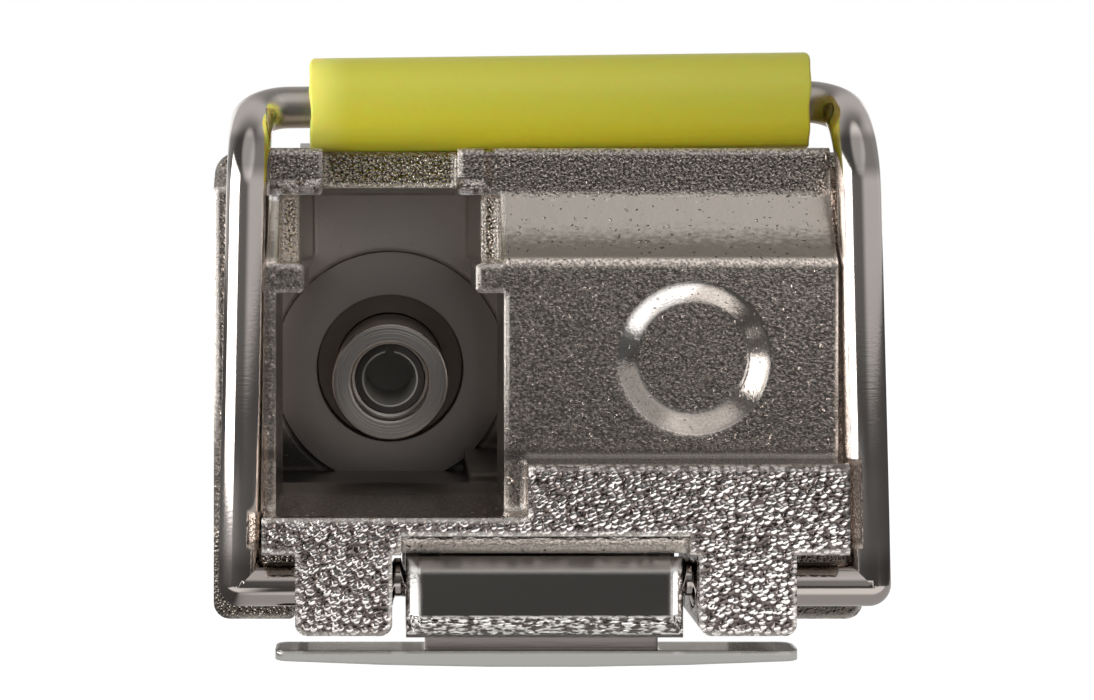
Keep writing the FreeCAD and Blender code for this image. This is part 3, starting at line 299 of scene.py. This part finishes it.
def casting_colour(t, spot, x, z, at, hill, rim):
    """Colour of the casting's skin: flecked plating, with a tone over each region. Several of these tones are
    painted light and shade: painted highlights on the leather's dome tops, the coin's upper left arc and the
    rims, painted glints on the lips and on the walls set back in the port's top, and painted shade in the
    leather's valleys, on the cove's foot, the skirts and the scoop, along the step's top, and low and deep in
    the port.
    """
    fleck = t.rise(t.noise(spot, 0.055, 1.0), 0.33, 0.67)
    dark = t.mix(at.band, (0.37, 0.325, 0.29, 1), (0.13, 0.115, 0.10, 1))
    light = t.mix(at.band, (0.93, 0.82, 0.735, 1), (0.70, 0.615, 0.55, 1))
    # Painted shade in the valleys between the leather's domes, and painted highlights on their tops.
    leather = t.mix(t.rise(hill, 0.67, 0.82), (0.17, 0.14, 0.13, 1), (0.92, 0.86, 0.83, 1))
    # Painted highlight on the coin's upper left arc.
    upper_left = t.above(z - x, COIN_Z - COIN_X + 1.35, 0.3)
    coin_with_painted_highlight = t.mix(upper_left, (0.52, 0.46, 0.41, 1), (1.0, 0.96, 0.92, 1))

    # Walls set back in the port's top: their near black and near white speckle is painted glints over the
    # tight grain, dimmer above the notch's top, with a painted highlight along the brim and more painted
    # glints on the left wall.
    brim = t.between(z, NOTCH_TOP - 0.01, NOTCH_TOP + 0.17, 0.08)
    left_wall = t.below(x, PORT_X - 1.375, 1.0) * t.below(z, NOTCH_TOP, 0.1)
    painted_glint_colour = t.layered((1.0, 0.92, 0.82, 1), (t.above(z, NOTCH_TOP, 0.1), (0.6, 0.55, 0.46, 1)),
                      (brim, (1.0, 0.97, 0.93, 1)))
    share = t.rise(t.noise(spot, 0.05, 1.0) + brim * 0.12 + left_wall * 0.1, 0.43, 0.57)
    speckle_with_painted_glints = t.mix(share, (0.04, 0.036, 0.03, 1), painted_glint_colour)
    # Painted glints in patches along the lip's lower edge.
    glint_patches = t.rise(t.noise(spot, 0.16, 1.0), 0.4, 0.52)
    glint = at.lip * t.below(z, LIP_TOP, 0.12) * t.above(z, LIP_FOOT, 0.1) * glint_patches

    return t.layered(t.mix(fleck, dark, light),
                     (at.coin * 0.8, coin_with_painted_highlight),
                     (at.proud, leather),
                     (at.cove, (0.45, 0.405, 0.36, 1)),
                     # Painted shade on the cove's foot, the set-back skirts and the scoop under the step.
                     (at.foot + at.skirt + at.scoop * 0.75, (0.20, 0.175, 0.15, 1)),
                     (at.wall * 0.85, speckle_with_painted_glints),
                     # Painted highlight along the rounded edges.
                     (rim * 0.85, (0.84, 0.78, 0.72, 1)),
                     (glint, (1.0, 0.97, 0.95, 1)),
                     # Painted shade along the corner where the step's top meets the face.
                     (at.ledge * 0.8, (0.24, 0.215, 0.195, 1)),
                     (at.inside, (0.88, 0.80, 0.745, 1)),
                     # Painted shade low and deep in the port, darkest in its inner corner.
                     (at.pit, (0.40, 0.365, 0.335, 1)),
                     (at.corner, (0.13, 0.12, 0.115, 1)))


def nickel_casting():
    """Plated die casting: flecked fine grain, coarse leather grain on the proud step, a tight grain on the
    skirts and on the walls set back in the port's top, bright with painted glints on those walls, and a
    smooth cove whose foot is darkened by painted shade."""
    made, t = new_finish("nickel_casting")
    spot, (x, y, z) = t.place()
    at = casting_regions(t, spot, x, y, z)
    hill = t.domes(t.stretched(spot, (0.88, 1.0, 1.0), 0.65), 0.12)
    edge = t.soft_edge(0.2)
    rim = t.rim(edge)
    t.surface(Base_Color=casting_colour(t, spot, x, z, at, hill, rim), Metallic=1.0,
              Roughness=0.13 - at.proud * 0.05 + at.inside * 0.17 + at.cove * 0.14,
              Normal=t.bump(casting_height(t, spot, z, at, hill, rim), edge))
    return made


def lever_nickel():
    """Stamped plated lever: faint long marks, bevelled side edges with a painted highlight and a crumpled
    lower edge with painted glints and shade on the tab, a web darkened by painted shade and a paler strip
    below it."""
    made, t = new_finish("lever_nickel")
    spot, (x, y, z) = t.place()
    out = abs(x)
    marks = t.noise(t.stretched(spot, (0.06, 1.0, 1.0)), 0.05)
    lower_edge = t.below(z, CRUMPLE_TOP, 0.08) * t.above(z, TAB_LOW - 0.125, 0.05)
    crumpled = lower_edge * t.below(y, CRUMPLE_BACK, 0.2)
    crumple = t.domes(t.stretched(spot, (0.6, 1.0, 1.0)), 0.09) * 0.05
    # Painted glints and shade: near white and near black blots on the crumpled lower edge.
    blot = t.rise(t.noise(t.stretched(spot, (0.5, 1.0, 1.0)), 0.08, 1.0), 0.43, 0.6)
    painted_glints_and_shade = t.mix(blot * t.above(z, TAB_LOW + 0.08, 0.04), (0.13, 0.11, 0.10, 1), (1.0, 0.96, 0.92, 1))
    bevel = t.node("ShaderNodeMapRange", None, {0: out, 1: TAB_HALF_WIDTH - TAB_BEVEL, 2: TAB_HALF_WIDTH})
    # Painted highlight on the tab's bevelled side edges.
    flank = t.above(out, TAB_HALF_WIDTH - 0.28, 0.06) * t.between(z, TAB_LOW + 0.35, TAB_TOP - 0.19, 0.1)
    # Painted shade on the web, set back between the tab and the strip.
    web_front = t.below(y, 0.215, 0.07) * t.above(y, 0.04, 0.08)
    web = web_front * t.below(z, TAB_LOW + 0.01, 0.06) * t.above(z, STRIP_TOP + 0.03, 0.04)
    shade = t.layered((0.46, 0.43, 0.40, 1),
                      (crumpled, painted_glints_and_shade),
                      (t.below(z, STRIP_TOP, 0.06), (0.66, 0.645, 0.61, 1)),
                      (web, (0.16, 0.14, 0.135, 1)),
                      (flank, (0.92, 0.89, 0.86, 1)))
    height = marks * 0.001 + crumple * crumpled + bevel * t.above(z, TAB_LOW - 0.05, 0.1) * 0.127
    t.surface(Base_Color=shade, Metallic=1.0, Normal=t.bump(height, t.soft_edge(0.12)),
              Roughness=0.06 + t.noise(spot, 0.9) * 0.06 + t.above(z, TAB_TOP - 0.3, 0.12) * 0.2)
    return made


def bail_nickel():
    """Smooth plated wire with faint long marks, with painted shade near its pivots, below its kinks and on
    the crossbar, which is also rougher."""
    made, t = new_finish("bail_nickel")
    spot, (_, y, z) = t.place()
    marks = t.noise(t.stretched(spot, (0.06, 1.0, 1.0)), 0.05)
    bar = t.above(y, BAR_Y - 0.65, 0.5)
    arch = t.above(z, KINK_Z - 0.65, 0.4) * t.below(z, KINK_Z + 0.2, 0.3) * (1 - bar)
    tone_and_painted_shade = t.layered((0.82, 0.745, 0.70, 1),
                     # Painted shade low on the bail, near its pivots.
                     (t.below(z, PIVOT_Z + 0.63, 0.6) * 0.75, (0.30, 0.265, 0.245, 1)),
                     # Painted shade below the kinks, dimming a reflection.
                     (arch, (0.36, 0.33, 0.31, 1)),
                     # Painted shade on the crossbar.
                     (bar * 0.7, (0.36, 0.33, 0.30, 1)))
    t.surface(Base_Color=tone_and_painted_shade, Metallic=1.0, Roughness=0.08 + t.noise(spot, 0.9) * 0.06 + bar * 0.25,
              Normal=t.bump(marks * 0.0005))
    return made


def sleeve_yellow():
    """Translucent yellow tubing: soft streaks along x, painted light making it lighter and warmer low down,
    and painted light making its left end paler.
    """
    made, t = new_finish("sleeve_yellow")
    spot, (x, _, z) = t.place()
    streak = t.noise(t.stretched(spot, (0.03, 1.0, 1.0)), 0.12, 3.0)
    shade = t.layered((0.55, 0.53, 0.055, 1),
                      # Painted light: lighter and warmer low down.
                      (t.below(z, BAR_Z - 0.38, 1.2), (0.80, 0.71, 0.03, 1)),
                      (streak * 0.25, (0.60, 0.59, 0.1, 1)),
                      # Painted light on the left end.
                      (t.below(x, float(SLEEVE_LOW[0]) + 0.5, 1.0) * 0.7, (0.86, 0.88, 0.20, 1)))
    t.surface(Base_Color=shade, Roughness=0.42, Subsurface_Weight=0.6, Subsurface_Scale=0.8 * MM,
              Normal=t.bump(streak * 0.006))
    return made


def turned_steel(name, colour, rough, groove, pocket=None):
    """Turned metal: fine rings about the port's axis, and painted shade towards the floor of a pocket."""
    made, t = new_finish(name)
    _, (x, y, z) = t.place()
    if pocket is not None:
        # Painted shade towards the pocket's floor.
        colour = t.mix(t.above(y, pocket - 0.31, 0.3), colour, (0.30, 0.26, 0.23, 1))
    rings = t.node("ShaderNodeTexNoise", {"noise_dimensions": "1D"},
                   {"W": t.distance(x - PORT_X, z), "Scale": 22.0, "Detail": 3.0})
    t.surface(Base_Color=colour, Metallic=1.0, Roughness=rough,
              Normal=t.bump(rings * groove, t.soft_edge(SMALL_EDGE)))
    return made


def sleeve_ceramic():
    """Pale polished ceramic, with painted shade outside the ferrule's radius, deep in the bore."""
    made, t = new_finish("sleeve_ceramic")
    _, (x, _, z) = t.place()
    # Painted shade outside the ferrule's radius.
    front = t.above(t.distance(x - PORT_X, z), FERRULE_RADIUS + 0.031, 0.031)
    t.surface(Base_Color=t.mix(front, (0.90, 0.88, 0.84, 1), (0.10, 0.09, 0.085, 1)), Roughness=0.25,
              Normal=t.soft_edge(SMALL_EDGE))
    return made


def board_green():
    """Solder mask with slightly raised tracks in two directions."""
    made, t = new_finish("board_green")
    spot, _ = t.place()
    lanes = t.node("ShaderNodeTexBrick", {"offset": 0.5},
                   {"Vector": spot, "Color1": (1, 1, 1, 1), "Color2": (0.2, 0.2, 0.2, 1),
                    "Mortar": (0, 0, 0, 1), "Scale": 900.0, "Mortar Size": 0.01, "Brick Width": 2.5,
                    "Row Height": 0.35}, out="Color")
    track = t.rise(t.node("ShaderNodeSeparateColor", None, {0: lanes}), 0.4, 0.6)
    t.surface(Base_Color=t.mix(track, (0.012, 0.11, 0.045, 1), (0.02, 0.17, 0.07, 1)), Roughness=0.35,
              Normal=t.bump(track * 0.02, t.soft_edge(SMALL_EDGE)))
    return made


def plain(name, colour, rough, metal=0.0, grain=0.004, size=0.1):
    """Plain finish with a fine grain, whose height and width are in millimetres."""
    made, t = new_finish(name)
    spot, _ = t.place()
    t.surface(Base_Color=colour, Metallic=metal, Roughness=rough,
              Normal=t.bump(t.noise(spot, size) * grain, t.soft_edge(SMALL_EDGE)))
    return made


PLAIN_FINISHES = {
    "cover_sheet": dict(colour=(0.70, 0.68, 0.65, 1), rough=0.32, metal=1.0, grain=0.002, size=0.2),
    "spring_sheet": dict(colour=(0.74, 0.72, 0.69, 1), rough=0.25, metal=1.0, grain=0.001, size=0.2),
    "can_metal": dict(colour=(0.83, 0.66, 0.33, 1), rough=0.22, metal=1.0, grain=0.001),
    "flex_amber": dict(colour=(0.42, 0.2, 0.035, 1), rough=0.3),
    "contact_gold": dict(colour=(0.90, 0.62, 0.22, 1), rough=0.22, metal=1.0, grain=0.001),
    "chip_black": dict(colour=(0.016, 0.016, 0.017, 1), rough=0.45, grain=0.006, size=0.06),
    "capacitor_tan": dict(colour=(0.33, 0.23, 0.13, 1), rough=0.4),
    "inductor_grey": dict(colour=(0.06, 0.06, 0.065, 1), rough=0.5, grain=0.01, size=0.15),
    "pad_grey": dict(colour=(0.36, 0.36, 0.38, 1), rough=0.75, grain=0.01, size=0.2),
}
MATERIALS = {name: plain(name, **values) for name, values in PLAIN_FINISHES.items()} | {
    "nickel_casting": nickel_casting(),
    "lever_nickel": lever_nickel(),
    "bail_nickel": bail_nickel(),
    "sleeve_yellow": sleeve_yellow(),
    "barrel_steel": turned_steel("barrel_steel", (0.58, 0.545, 0.515, 1), 0.26, 0.008),
    "holder_metal": turned_steel("holder_metal", (0.66, 0.605, 0.57, 1), 0.34, 0.002, HOLDER_POCKET),
    "sleeve_ceramic": sleeve_ceramic(),
    "board_green": board_green(),
}


# Surfaces

def unit(vectors):
    """Vectors of length 1 along the given ones."""
    return vectors / np.linalg.norm(vectors, axis=-1, keepdims=True)


def full_turn(count):
    """Angles of a whole turn, as a column."""
    return np.linspace(0, 2 * math.pi, count, endpoint=False)[:, None]


def rounded(corners, radius, steps=5):
    """Closed outline in which each corner of a polygon becomes a parabola from radius before it to radius
    after it, or less on a short side: (1 - s)^2 its start, plus 2 s (1 - s) the corner, plus s^2 its end."""
    corners = np.asarray(corners, float)
    back, ahead = np.roll(corners, 1, 0) - corners, np.roll(corners, -1, 0) - corners
    shorter = np.minimum(np.linalg.norm(back, axis=1), np.linalg.norm(ahead, axis=1))
    reach = np.minimum(radius, 0.45 * shorter)[:, None]
    start, end = corners + unit(back) * reach, corners + unit(ahead) * reach
    s = np.linspace(0, 1, steps)[None, :, None]
    curves = (1 - s) ** 2 * start[:, None] + 2 * s * (1 - s) * corners[:, None] + s ** 2 * end[:, None]
    return curves.reshape(-1, 2)


def quads(rows, columns, close_rows, close_columns):
    """Faces of a grid of points, closed round either way if asked."""
    row, column = np.mgrid[:rows - (not close_rows), :columns - (not close_columns)]
    here, below = row * columns, (row + 1) % rows * columns
    beside = (column + 1) % columns
    corners = [here + column, here + beside, below + beside, below + column]
    return np.stack(corners, -1).reshape(-1, 4).tolist()


def piece(name, points, faces, slot, body, stands_for):
    """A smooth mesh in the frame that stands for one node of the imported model."""
    mesh = bpy.data.meshes.new(name)
    mesh.from_pydata(to_frame(points.reshape(-1, 3)).tolist(), [], faces)
    mesh.polygons.foreach_set("use_smooth", np.ones(len(mesh.polygons), bool))
    mesh.materials.append(MATERIALS[slot])
    made = bpy.data.objects.new(name, mesh)
    bpy.context.scene.collection.objects.link(made)
    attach(made, body)
    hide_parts(stands_for)


def turned(name, corners, rounding, slot, node, around=144):
    """Turned ring: a closed outline of (radius, y) with rounded corners, carried round the port's axis to
    x = PORT_X + radius cos(angle) and z = radius sin(angle)."""
    outline = rounded(corners, rounding)
    angle = full_turn(around)
    radius, along = outline.T[:, None]
    points = np.stack([PORT_X + radius * np.cos(angle), along + 0 * angle, radius * np.sin(angle)], -1)
    piece(name, points, quads(around, len(outline), True, True), slot, "root", node)


def receptacle_barrel():
    """Barrel with a wider mouth in front of the bore for its sleeve."""
    front, back, mouth, bore, mouth_depth = BARREL_LOW[1], BARREL_HIGH[1], 0.9, 0.82, 0.9
    corners = [(mouth, front), (BARREL_RADIUS, front), (BARREL_RADIUS, back), (bore, back),
               (bore, front + mouth_depth), (mouth, front + mouth_depth)]
    turned("receptacle_barrel_turned", corners, 0.06, "barrel_steel", "receptacle_barrel")


def receptacle_holder():
    """Disc round the barrel, with a sunk pocket."""
    front, back, pocket, bore = HOLDER_LOW[1], HOLDER_HIGH[1], 1.85, BARREL_RADIUS + 0.02
    radius = (HOLDER_HIGH[0] - HOLDER_LOW[0]) / 2
    corners = [(pocket, front), (radius, front), (radius, back), (bore, back),
               (bore, HOLDER_POCKET), (pocket, HOLDER_POCKET)]
    turned("receptacle_holder_turned", corners, 0.015, "holder_metal", "receptacle_holder")


def straight(start, end, step):
    """Points about step apart on a straight run, without its start."""
    count = max(1, int(np.linalg.norm(end - start) / step))
    return np.linspace(start, end, count + 1)[1:]


def bent_path(corners, radii, step):
    """Points along straight runs through the corners. Each corner but the ends is an arc of its radius. The
    arc's middle lies on the bisector, at radius / sin(half the angle), and its start radius / tan(half the
    angle) before the corner."""
    corners = np.asarray(corners, float)
    runs = [corners[:1]]
    for before, here, after, radius in zip(corners[:-2], corners[1:-1], corners[2:], radii):
        back, ahead = unit(before - here), unit(after - here)
        half = math.acos(back @ ahead) / 2
        middle = here + unit(back + ahead) * radius / math.sin(half)
        start = here + back * radius / math.tan(half)
        angle = np.linspace(0, math.pi - 2 * half, 15)[1:, None]
        arc = middle + radius * (np.cos(angle) * unit(start - middle) - np.sin(angle) * back)
        runs += [straight(runs[-1][-1], start, step), arc]
    return np.concatenate(runs + [straight(runs[-1][-1], corners[-1], step)])


def bail_path(tip):
    """Middle line of the bail, from one flat tip over the crossbar to the other, and the direction square to
    its slope from kink to crossbar. The bail sits to the right by its side play, its arms lean in, and its
    left end hangs lower. Its runs near the tips have close, even points."""
    half_span, play, lean_left, lean_right, sag, lift = 6.45, 0.25, 0.15, 0.14, 0.12, 0.02
    kink_radius, corner_radius, pivot_radius = 1.85, 0.75, 0.02
    left, right = play - half_span, play + half_span
    corners = [(-tip, PIVOT_Y, PIVOT_Z), (left, PIVOT_Y, PIVOT_Z),
               (left + lean_left, KINK_Y, KINK_Z - sag), (left + lean_left, BAR_Y, BAR_Z - sag),
               (right - lean_right, BAR_Y, BAR_Z + lift), (right - lean_right, KINK_Y, KINK_Z),
               (right, PIVOT_Y, PIVOT_Z), (tip, PIVOT_Y, PIVOT_Z)]
    radii = (pivot_radius, kink_radius, corner_radius, corner_radius, kink_radius, pivot_radius)
    path = bent_path(corners, radii, 0.12)
    within_ears = EAR_INNER + 0.22
    inner = np.linspace((tip, PIVOT_Y, PIVOT_Z), (within_ears, PIVOT_Y, PIVOT_Z), 56)
    outer = path[(path[:, 2] > CLEAR_OF_PIVOT) | (np.abs(path[:, 0]) > within_ears + 0.05)]
    slope = np.array([0.0, BAR_Z - KINK_Z, KINK_Y - BAR_Y])
    return np.concatenate([inner * (-1, 1, 1), outer, inner[::-1]]), unit(slope)


def bail_wire():
    """Wire bail: an ellipse carried along a path, at path + wide cos(angle) normal + thin sin(angle) across.
    The normal is y at the pivots and the slope's elsewhere, made square to the path. Near each end the round
    section eases into a raised neck and then into a flat cam, wide along y and thin along z."""
    neck_end, cam_length, around = 2.9, 0.7, 48
    neck_ease, cam_ease, neck_raise = 0.05, 0.07, 0.14
    neck_thinner, cam_thinner, cam_wider = 0.06, 0.14, 0.1
    path, slope = bail_path(neck_end - cam_length)
    tangent = unit(np.gradient(path, axis=0))
    at_pivot = path[:, 2:] < CLEAR_OF_PIVOT
    facing = np.where(at_pivot, np.array([0.0, 1.0, 0.0]), slope)
    normal = unit(facing - (facing * tangent).sum(1, keepdims=True) * tangent)[:, None]
    across = np.cross(tangent, normal[:, 0])[:, None]
    out = np.where(at_pivot, np.abs(path[:, :1]), np.inf)[:, None]
    raised = np.clip((EAR_INNER - out) / neck_ease, 0, 1)
    flat = np.clip((neck_end - out) / cam_ease, 0, 1)
    wide, thin = WIRE_RADIUS + cam_wider * flat, WIRE_RADIUS - neck_thinner * raised - cam_thinner * flat
    centre = path[:, None] + (raised - flat) * np.array([0.0, 0.0, neck_raise])
    angle = full_turn(around)
    rings = centre + wide * np.cos(angle) * normal + thin * np.sin(angle) * across
    points = np.concatenate([rings.reshape(-1, 3), path[:1], path[-1:]])
    here, last = np.arange(around), len(points) - 2 - around
    ahead, first_tip = np.roll(here, -1), np.full(around, len(points) - 2)
    first_cap = np.stack([here, ahead, first_tip], 1)
    last_cap = np.stack([last + ahead, last + here, first_tip + 1], 1)
    faces = quads(len(path), around, False, True) + first_cap.tolist() + last_cap.tolist()
    piece("bail_wire_bent", points, faces, "bail_nickel", "bail", "bail_wire")


def bail_sleeve():
    """Plastic tube: a closed outline of (x, radius) carried round the crossbar, on which it tilts. Its cut
    ends wander in x with sines of the angle, and the right one is cut aslant."""
    bore, outside, rounding, around = 0.49, 1.03, 0.07, 120
    slant, tilt, level_x, drop = 0.12, 0.0124, -0.36, 0.03
    left, right = SLEEVE_LOW[0] + 0.05, SLEEVE_HIGH[0]
    outline = rounded([(left, bore), (left, outside), (right, outside), (right, bore)], rounding, 6)
    angle = full_turn(around)
    along, radius = outline.T[:, None]
    wander = 0.02 * np.sin(3 * angle + 0.7) + 0.012 * np.sin(7 * angle) - 0.03
    along = along + wander * np.sign(along) + slant * np.cos(angle) * (along > 0)
    middle = BAR_Z - drop + tilt * (along - level_x)
    points = np.stack([along, BAR_Y + radius * np.cos(angle), middle + radius * np.sin(angle)], -1)
    piece("bail_sleeve_tube", points, quads(around, len(outline), True, True), "sleeve_yellow", "bail",
          "bail_sleeve")


bail_wire()
bail_sleeve()
receptacle_barrel()
receptacle_holder()

SLOTS = {
    "main_casting": "nickel_casting", "top_cover": "cover_sheet", "finger_collar": "spring_sheet",
    "latch_lever": "lever_nickel", "lever_pin": "barrel_steel", "lever_spring": "spring_sheet",
    "split_sleeve": "sleeve_ceramic", "fibre_stub": "sleeve_ceramic", "osa_clamp": "spring_sheet",
    "osa_housing": "can_metal", "laser_can": "can_metal", "laser_leads": "contact_gold",
    "laser_flex": "flex_amber", "detector_can": "can_metal", "detector_leads": "contact_gold",
    "detector_flex": "flex_amber", "circuit_board": "board_green", "contact_pads": "contact_gold",
    "driver_chip": "chip_black", "thermal_pad": "pad_grey", "amplifier_chip": "chip_black",
    "controller_chip": "chip_black", "memory_chip": "chip_black", "chip_capacitors": "capacitor_tan",
    "chip_resistors": "chip_black", "power_inductors": "inductor_grey",
}
for node, slot in SLOTS.items():
    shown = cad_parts[node]
    shown.data.materials.clear()
    shown.data.materials.append(MATERIALS[slot])


# Stage

def studio():
    """White for the camera. Other rays meet a soft roof, a grey right side and back, and a dark front."""
    world = bpy.data.worlds.new("studio")
    bpy.context.scene.world = world
    t = Tree(world)
    way = t.node("ShaderNodeTexCoord", out="Generated")

    def glow_from(direction, outer, inner, strength):
        """A round light in the sky, with full strength within inner degrees and none beyond outer degrees."""
        facing = t.dot(way, unit(np.array(direction, float)).tolist())
        return t.rise(facing, math.cos(math.radians(outer)), math.cos(math.radians(inner))) * strength

    roof = glow_from((0, -0.57, 0.82), 36, 20, 0.7)
    right = glow_from((1, -0.5, 0.1), 70, 40, 0.36)
    behind = glow_from((0, 1, 0.3), 80, 40, 0.35)
    backdrop = glow_from((0, 1, 0), 40, 30, 1.0)
    dim_rest = 0.13
    light = roof + right + behind + dim_rest
    sky = t.node("ShaderNodeBackground", None, {"Color": (1, 1, 1, 1), "Strength": light})
    white = t.node("ShaderNodeBackground", None, {"Color": (1, 1, 1, 1), "Strength": 1.0})
    by_camera, by_gloss, through = [t.ray(kind) for kind in ("Camera", "Glossy", "Transmission")]
    seen = by_camera + (by_gloss + through) * backdrop
    t.show(t.node("ShaderNodeMixShader", None, {0: seen, 1: sky, 2: white}), "ShaderNodeOutputWorld")


def softbox(name, place, aim, size, radiance):
    """Square area light at place, in millimetres, turned towards aim and as bright as radiance says."""
    lamp = bpy.data.lights.new(name, "AREA")
    lamp.shape, lamp.size = "SQUARE", size * MM
    lamp.energy = radiance * math.pi * lamp.size ** 2
    made = bpy.data.objects.new(name, lamp)
    made.location = to_frame(place)
    made.rotation_euler = Vector(np.subtract(aim, place)).to_track_quat("-Z", "Y").to_euler()
    bpy.context.scene.collection.objects.link(made)
    return made


def floor():
    """Pale floor that stays white for the camera and keeps a soft shadow. Reflections find it white close to
    the object, more so at the right, and on a card at the left, and dark further ahead."""
    half_size = 2.0
    corners = [(-half_size, -half_size, 0), (half_size, -half_size, 0), (half_size, half_size, 0),
               (-half_size, half_size, 0)]
    mesh = bpy.data.meshes.new("floor")
    mesh.from_pydata(corners, [], [(0, 1, 2, 3)])
    made, t = new_finish("floor_white")
    _, (x, y, _) = t.place()
    close = t.above(y + x * 0.35, -4.8, 2.0) * t.above(x, -6.5, 1.0) * t.below(x, 16.5, 3.0)
    # Painted shadow: reflections find the floor dimmer right in front of the object.
    close = close * (0.4 + t.below(y, -2.1, 1.0) * 0.6)
    card = t.above(x, -12.0, 2.0) * t.below(x, -6.2, 0.8) * t.above(y, -8.5, 1.0) * t.below(y, -3.0, 0.8)
    by_camera, by_gloss = [t.ray(kind) for kind in ("Camera", "Glossy")]
    tone = t.mix(by_camera, (0.13, 0.13, 0.13, 1), (0.9, 0.9, 0.9, 1))
    lit = t.node("ShaderNodeBsdfDiffuse", None, {"Color": tone})
    white = t.node("ShaderNodeEmission", None, {"Color": (1, 1, 1, 1), "Strength": 1.4})
    seen = by_camera * 0.7 + by_gloss * (close + card)
    t.show(t.node("ShaderNodeMixShader", None, {0: seen, 1: lit, 2: white}))
    mesh.materials.append(made)
    ground = bpy.data.objects.new("floor", mesh)
    bpy.context.scene.collection.objects.link(ground)


def camera():
    """Camera in front of the port, a little above it, with the lens shifted to the photograph's frame."""
    away, height = 42.0, 3.7
    lens = bpy.data.cameras.new("camera")
    lens.lens, lens.sensor_width = 67.16, 36.0
    lens.shift_x, lens.shift_y = 0.1435, -0.117
    lens.clip_start, lens.clip_end = 0.002, 20.0
    made = bpy.data.objects.new("camera", lens)
    made.location = to_frame((PORT_X, -away, height))
    made.rotation_euler = (math.pi / 2, 0, 0)
    bpy.context.scene.collection.objects.link(made)
    bpy.context.scene.camera = made


studio()
softbox("left_lamp", (-60, -16, 4), (0, 0, 1), 66, 4.0)
softbox("front_fill", (-45, -62, -2), (0, 0, 5), 50, 7.0).visible_glossy = False
floor()
camera()
bpy.context.scene.view_settings.view_transform = "Standard"
